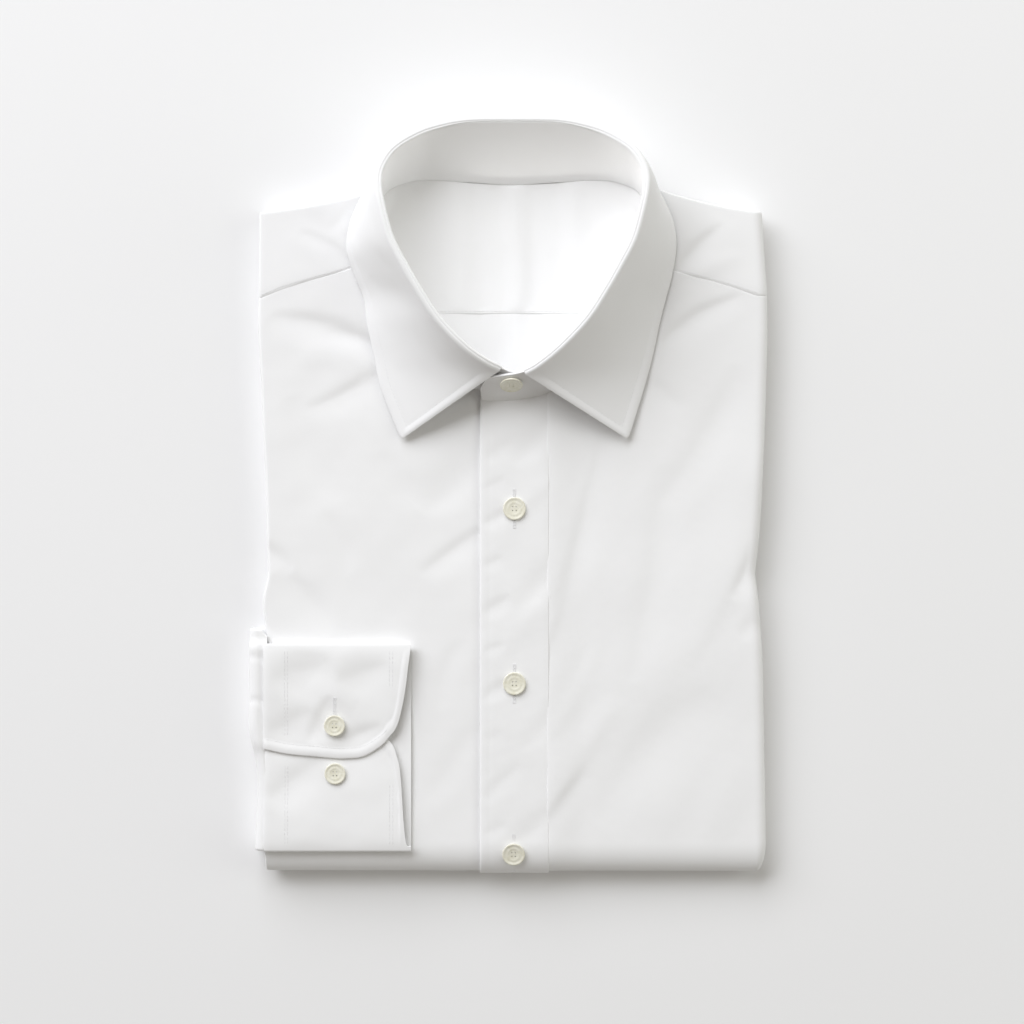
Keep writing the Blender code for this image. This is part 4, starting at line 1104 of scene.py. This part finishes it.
def button_mesh(name, diameter):
    """A turned button with a raised rim and a dished middle, at the origin."""
    turned = bmesh.new()
    line = [turned.verts.new((share * diameter / 2 * MM, 0, high * BUTTON_THICK * MM))
            for share, high in BUTTON_PROFILE]
    edges = [turned.edges.new(pair) for pair in zip(line, line[1:])]
    bmesh.ops.spin(turned, geom=line + edges, cent=(0, 0, 0), axis=(0, 0, 1), angle=2 * pi, steps=72)
    bmesh.ops.remove_doubles(turned, verts=turned.verts, dist=0.002 * MM)
    bmesh.ops.recalc_face_normals(turned, faces=turned.faces)
    return as_mesh(name, turned)


def cut_holes(piece):
    """Four round holes through a button."""
    holes = bmesh.new()
    for side in (-1, 1):
        for end in (-1, 1):
            made = bmesh.ops.create_cone(holes, cap_ends=True, segments=20, radius1=HOLE_RADIUS * MM,
                                         radius2=HOLE_RADIUS * MM, depth=4 * BUTTON_THICK * MM)
            bmesh.ops.translate(holes, verts=made["verts"], vec=Vector((side, end, 0)) * HOLE_SPREAD / 2 * MM)
    cutter = new_object(piece.name + "_holes", as_mesh(piece.name + "_holes", holes))
    cut = piece.modifiers.new("holes", "BOOLEAN")
    cut.operation = "DIFFERENCE"
    cut.solver = "EXACT"
    cut.object = cutter
    finished = evaluated_mesh(piece)
    piece.modifiers.clear()
    piece.data = finished
    bpy.data.objects.remove(cutter)


def add_button(name, diameter, seat, facing, node):
    """A button with its holes cut, sewn on by two pairs of threads."""
    turn = Vector((0, 0, 1)).rotation_difference(Vector(facing)).to_matrix().to_4x4()
    turn.translation = Vector(seat) * MM
    piece = add_piece(name, button_mesh(name, diameter), FINISHES["button_shell"], node)
    cut_holes(piece)
    piece.data.shade_smooth()
    piece.data.set_sharp_from_angle(angle=radians(40))
    piece.data.transform(turn)
    reach, top = HOLE_SPREAD / 2, BUTTON_THICK * 0.67
    threads = []
    for side in (-1, 1):
        for shift in (-0.14, 0.14):
            x = side * reach + shift
            threads.append([(x, -reach, top - 0.5), (x, 0, top + 0.14), (x, reach, top - 0.5)])
    sewn = tube_mesh(name + "_thread", threads, 0.13)
    sewn.transform(turn)
    add_piece(name + "_thread", sewn, SEWING)


def tube_mesh(name, lines, radius):
    """Round threads along smooth lines of three points or more."""
    curve = bpy.data.curves.new(name, "CURVE")
    curve.dimensions = "3D"
    curve.bevel_depth = radius * MM
    curve.bevel_resolution = 3
    curve.use_fill_caps = True
    curve.resolution_u = 8
    for line in lines:
        spline = curve.splines.new("NURBS")
        spline.points.add(len(line) - 1)
        for point, place in zip(spline.points, line):
            point.co = (*(value * MM for value in place), 1.0)
        spline.use_endpoint_u = True
        spline.order_u = 3
    holder = new_object(name, curve)
    mesh = evaluated_mesh(holder)
    bpy.data.objects.remove(holder)
    mesh.name = name
    return mesh


def buttonhole(name, x, y, length, height, lift=0.02):
    """An upright buttonhole: a slit between two rows of close stitches, with bars at its ends."""
    count = int(length / HOLE_STITCH)
    inner, outer = HOLE_STITCH_ENDS
    rows = []
    for k in range(count):
        for side in (-1, 1):
            across = [x + side * inner, x + side * (inner + outer) / 2, x + side * outer]
            rows.append((across, y - length / 2 + (k + 0.5) * length / count))
    for end in (-1, 1):
        for k in range(4):
            rows.append(([x - outer, x, x + outer], y + end * (length / 2 + 0.2 * k)))
    lines = [on_top(across, [place] * 3, height, lift) for across, place in rows]
    add_piece(name, tube_mesh(name, lines, 0.15), SEWING)


def build_cloth():
    """Every visible piece of cloth, in place of its plain solid."""
    left_columns = LEFT_NECK_COLUMNS + SEAM_COLUMNS + SIDE_COLUMNS
    right_columns = RIGHT_NECK_COLUMNS + SEAM_COLUMNS + SIDE_COLUMNS
    cloth("left_front", "front_left", left_front, (left_columns, PANEL_ROWS + BOTTOM_ROWS), CLOTH)
    cloth("right_front", "front_right", right_front, (right_columns, PANEL_ROWS + BOTTOM_ROWS), CLOTH)
    cloth("button_strip", "placket", placket, (STRIP_COLUMNS, STRIP_ROWS + BOTTOM_ROWS), PLACKET_WALL)
    cloth("outer_yoke", "yoke", yoke, (YOKE_COLUMNS + 2 * SIDE_COLUMNS, YOKE_ROWS + BOTTOM_ROWS), CLOTH)
    cloth("yoke_inside", "inner_yoke", inner_yoke, INNER_YOKE_GRID, CLOTH)
    cloth("back_inside", "back_panel", back_panel, BACK_GRID, CLOTH)
    cloth("stand", "collar_band", collar_band, (BAND_COLUMNS + 2 * BAND_END_COLUMNS, BAND_ROWS), BAND_WALL,
          slot="fused_poplin", offset=0.0)
    cloth("leaf", "collar_leaf", collar_leaf, (LEAF_COLUMNS, LEAF_FOLD_ROWS + LEAF_FALL_ROWS), LEAF_WALL,
          slot="fused_poplin", offset=0.0)
    cloth("cuff", "cuff_right", cuff, (CUFF_COLUMNS, sum(CUFF_ROWS)), CUFF_WALL,
          slot="fused_poplin", offset=0.0)
    cloth("sleeve", "sleeve_right", sleeve, (sum(SLEEVE_COLUMNS), sum(SLEEVE_ROWS)), SLEEVE_WALL,
          offset=0.0, ring=True)


def build_hidden():
    """The layers seen from the sides, closed above and below."""
    mesh = grid_mesh("folded_layers", *LAYERS_GRID, hidden_layers, ring=True, lids=True)
    piece = add_piece("folded_layers", mesh, FINISHES["poplin"], "hidden_layers")
    piece.data.set_sharp_from_angle(angle=radians(60))


def upright_rows(shifts, start, stop, count, height):
    """Upright rows of sewing on the cuff, each so far from its left edge."""
    y = np.linspace(start, stop, count)
    return [on_top(np.full_like(y, CUFF_LEFT + shift), y, height, CUFF_WALL / 2 + 0.04) for shift in shifts]


def build_sewing():
    """Stitch lines and buttonholes."""
    stitches("leaf_stitches", leaf_stitch_paths())
    seams = []
    for rows in (SEAM_LEFT, SEAM_RIGHT):
        x = np.linspace(rows[0][0], rows[-1][0], 80)
        seams.append(on_top(x, along(rows, x) + 1.3, lambda a, b: yoke_height(a, b, YOKE_LINES[0][4])))
    stitches("seam_stitches", seams, thick=0.06)
    x = np.linspace(MIDDLE - 60, MIDDLE + 60, 120)
    y = np.full_like(x, INNER_SEAM + 1.2)
    inner = points(x, y, INSIDE_TOP + 0.35 + inside_swell(x, y) + 0.4 * inside_pleats(x, y))
    stitches("inner_seam_stitches", [inner])
    x = np.linspace(CUFF_LEFT + 1, -60.5, 120)
    sewn = [on_top(x, along(OVER_FLAP, x) + EDGE_STITCH, over_height, CUFF_WALL / 2 + 0.04)]
    sewn += upright_rows(SLEEVE_SEAM_ROWS, -118.0, CUFF_TOP - 4, 60, over_height)
    sewn += upright_rows(CUFF_EDGE_ROWS, CUFF_TOP - 4, CUFF_TOP - 22, 30, over_height)
    sewn += upright_rows(CUFF_EDGE_ROWS, CUFF_BOTTOM + 4, CUFF_BOTTOM + 34, 40, under_height)
    sewn += upright_rows(SLEEVE_SEAM_ROWS, -133.0, CUFF_BOTTOM + 4, 60, under_height)
    stitches("cuff_stitches", sewn)
    for index, (x, y, _, _) in enumerate(FRONT_BUTTONS, start=1):
        buttonhole("front_buttonhole_%d" % index, x, y, BUTTONHOLE, strip_level)
    x, y, _ = CUFF_BUTTONS[0]
    buttonhole("cuff_buttonhole", x, y + 6.6, CUFF_BUTTONHOLE, over_height, CUFF_WALL / 2 + 0.02)


def build_buttons():
    """The strip's and the cuff's buttons, and the neck's, which lies flat on the collar band's outer end."""
    for index, (x, y, below, lean) in enumerate(FRONT_BUTTONS, start=1):
        seat = x, y, PLACKET_TOP - below + BUTTON_LIFT
        add_button("front_button_%d" % index, FRONT_BUTTON, seat, (0, -lean, 1), "button_front_%d" % index)
    for index, (x, y, layer) in enumerate(CUFF_BUTTONS, start=1):
        seat = x, y, layer + CUFF_WALL / 2 + BUTTON_LIFT
        add_button("cuff_button_%d" % index, CUFF_BUTTON, seat, (0, 0, 1), "button_cuff_%d" % index)
    top, seam = Vector(OUTER_END[0][0:3]), Vector(OUTER_END[0][3:6])
    on = Vector(OUTER_END[1][0:3]) - top
    facing = (top - seam).cross(on).normalized()
    seat = seam.lerp(top, NECK_BUTTON[0]) + on * NECK_BUTTON[1] + facing * (BAND_WALL / 2 + BUTTON_LIFT + 0.2)
    add_button("neck_button", FRONT_BUTTON, seat, facing, "button_neck")


def add_floor():
    """A plain pale surface under the shirt."""
    bpy.ops.mesh.primitive_plane_add(size=6.0, location=(0, 0, 0))
    floor = bpy.context.object
    floor.name = "floor"
    made, _, _ = new_finish("floor", {"Roughness": 0.7, "Specular IOR Level": 0.2,
                                      "Base Color": (0.90, 0.90, 0.90, 1)})
    floor.data.materials.append(made)


def add_light(name, place, aim, size, power, colour):
    lamp = bpy.data.lights.new(name, "AREA")
    lamp.shape = "RECTANGLE"
    lamp.size, lamp.size_y = size
    lamp.energy = power
    lamp.color = colour
    holder = new_object(name, lamp)
    holder.location = place
    holder.rotation_euler = (Vector(aim) - Vector(place)).to_track_quat("-Z", "Y").to_euler()
    return holder


def toward(direction, distance):
    """A place that far from the shirt's middle in a direction."""
    return Vector(direction).normalized() * distance


def add_lights():
    """A broad window at the top left, a faint bounce from the right and a dim warm room all round."""
    add_light("window", toward((-0.60, 0.90, 0.79), 3.4), (0, 0, 0), (3.9, 2.4), 144.0, (0.936, 0.955, 1.0))
    add_light("bounce", toward((1.0, 0.15, 0.55), 2.2), (0, 0, 0), (1.6, 1.6), 11.6, (0.97, 1.0, 0.96))
    neck = add_light("neck_bounce", (0.014, 0.133, 0.0156), (0.014, 0.133, 1.0), (0.07, 0.05), 0.0212,
                     (1.0, 0.986, 0.944))
    neck.visible_camera = False
    room = bpy.data.worlds.new("room")
    bpy.context.scene.world = room
    room.use_nodes = True
    sky = room.node_tree.nodes["Background"]
    sky.inputs["Color"].default_value = (1.0, 0.942, 0.858, 1)
    sky.inputs["Strength"].default_value = 0.276


def add_camera():
    """Straight above, far enough that the frame spans 512 mm at the shirt's front."""
    high, span = 1.30, 0.512
    lens_plane = high - 0.018
    view = bpy.data.cameras.new("camera")
    view.sensor_width = 36.0
    view.lens = view.sensor_width * lens_plane / span
    holder = new_object("camera", view)
    holder.location = (0.002, -0.0065, high)
    bpy.context.scene.camera = holder


build_cloth()
build_hidden()
build_sewing()
build_buttons()
add_floor()
add_lights()
add_camera()
bpy.context.scene.view_settings.view_transform = "Standard"
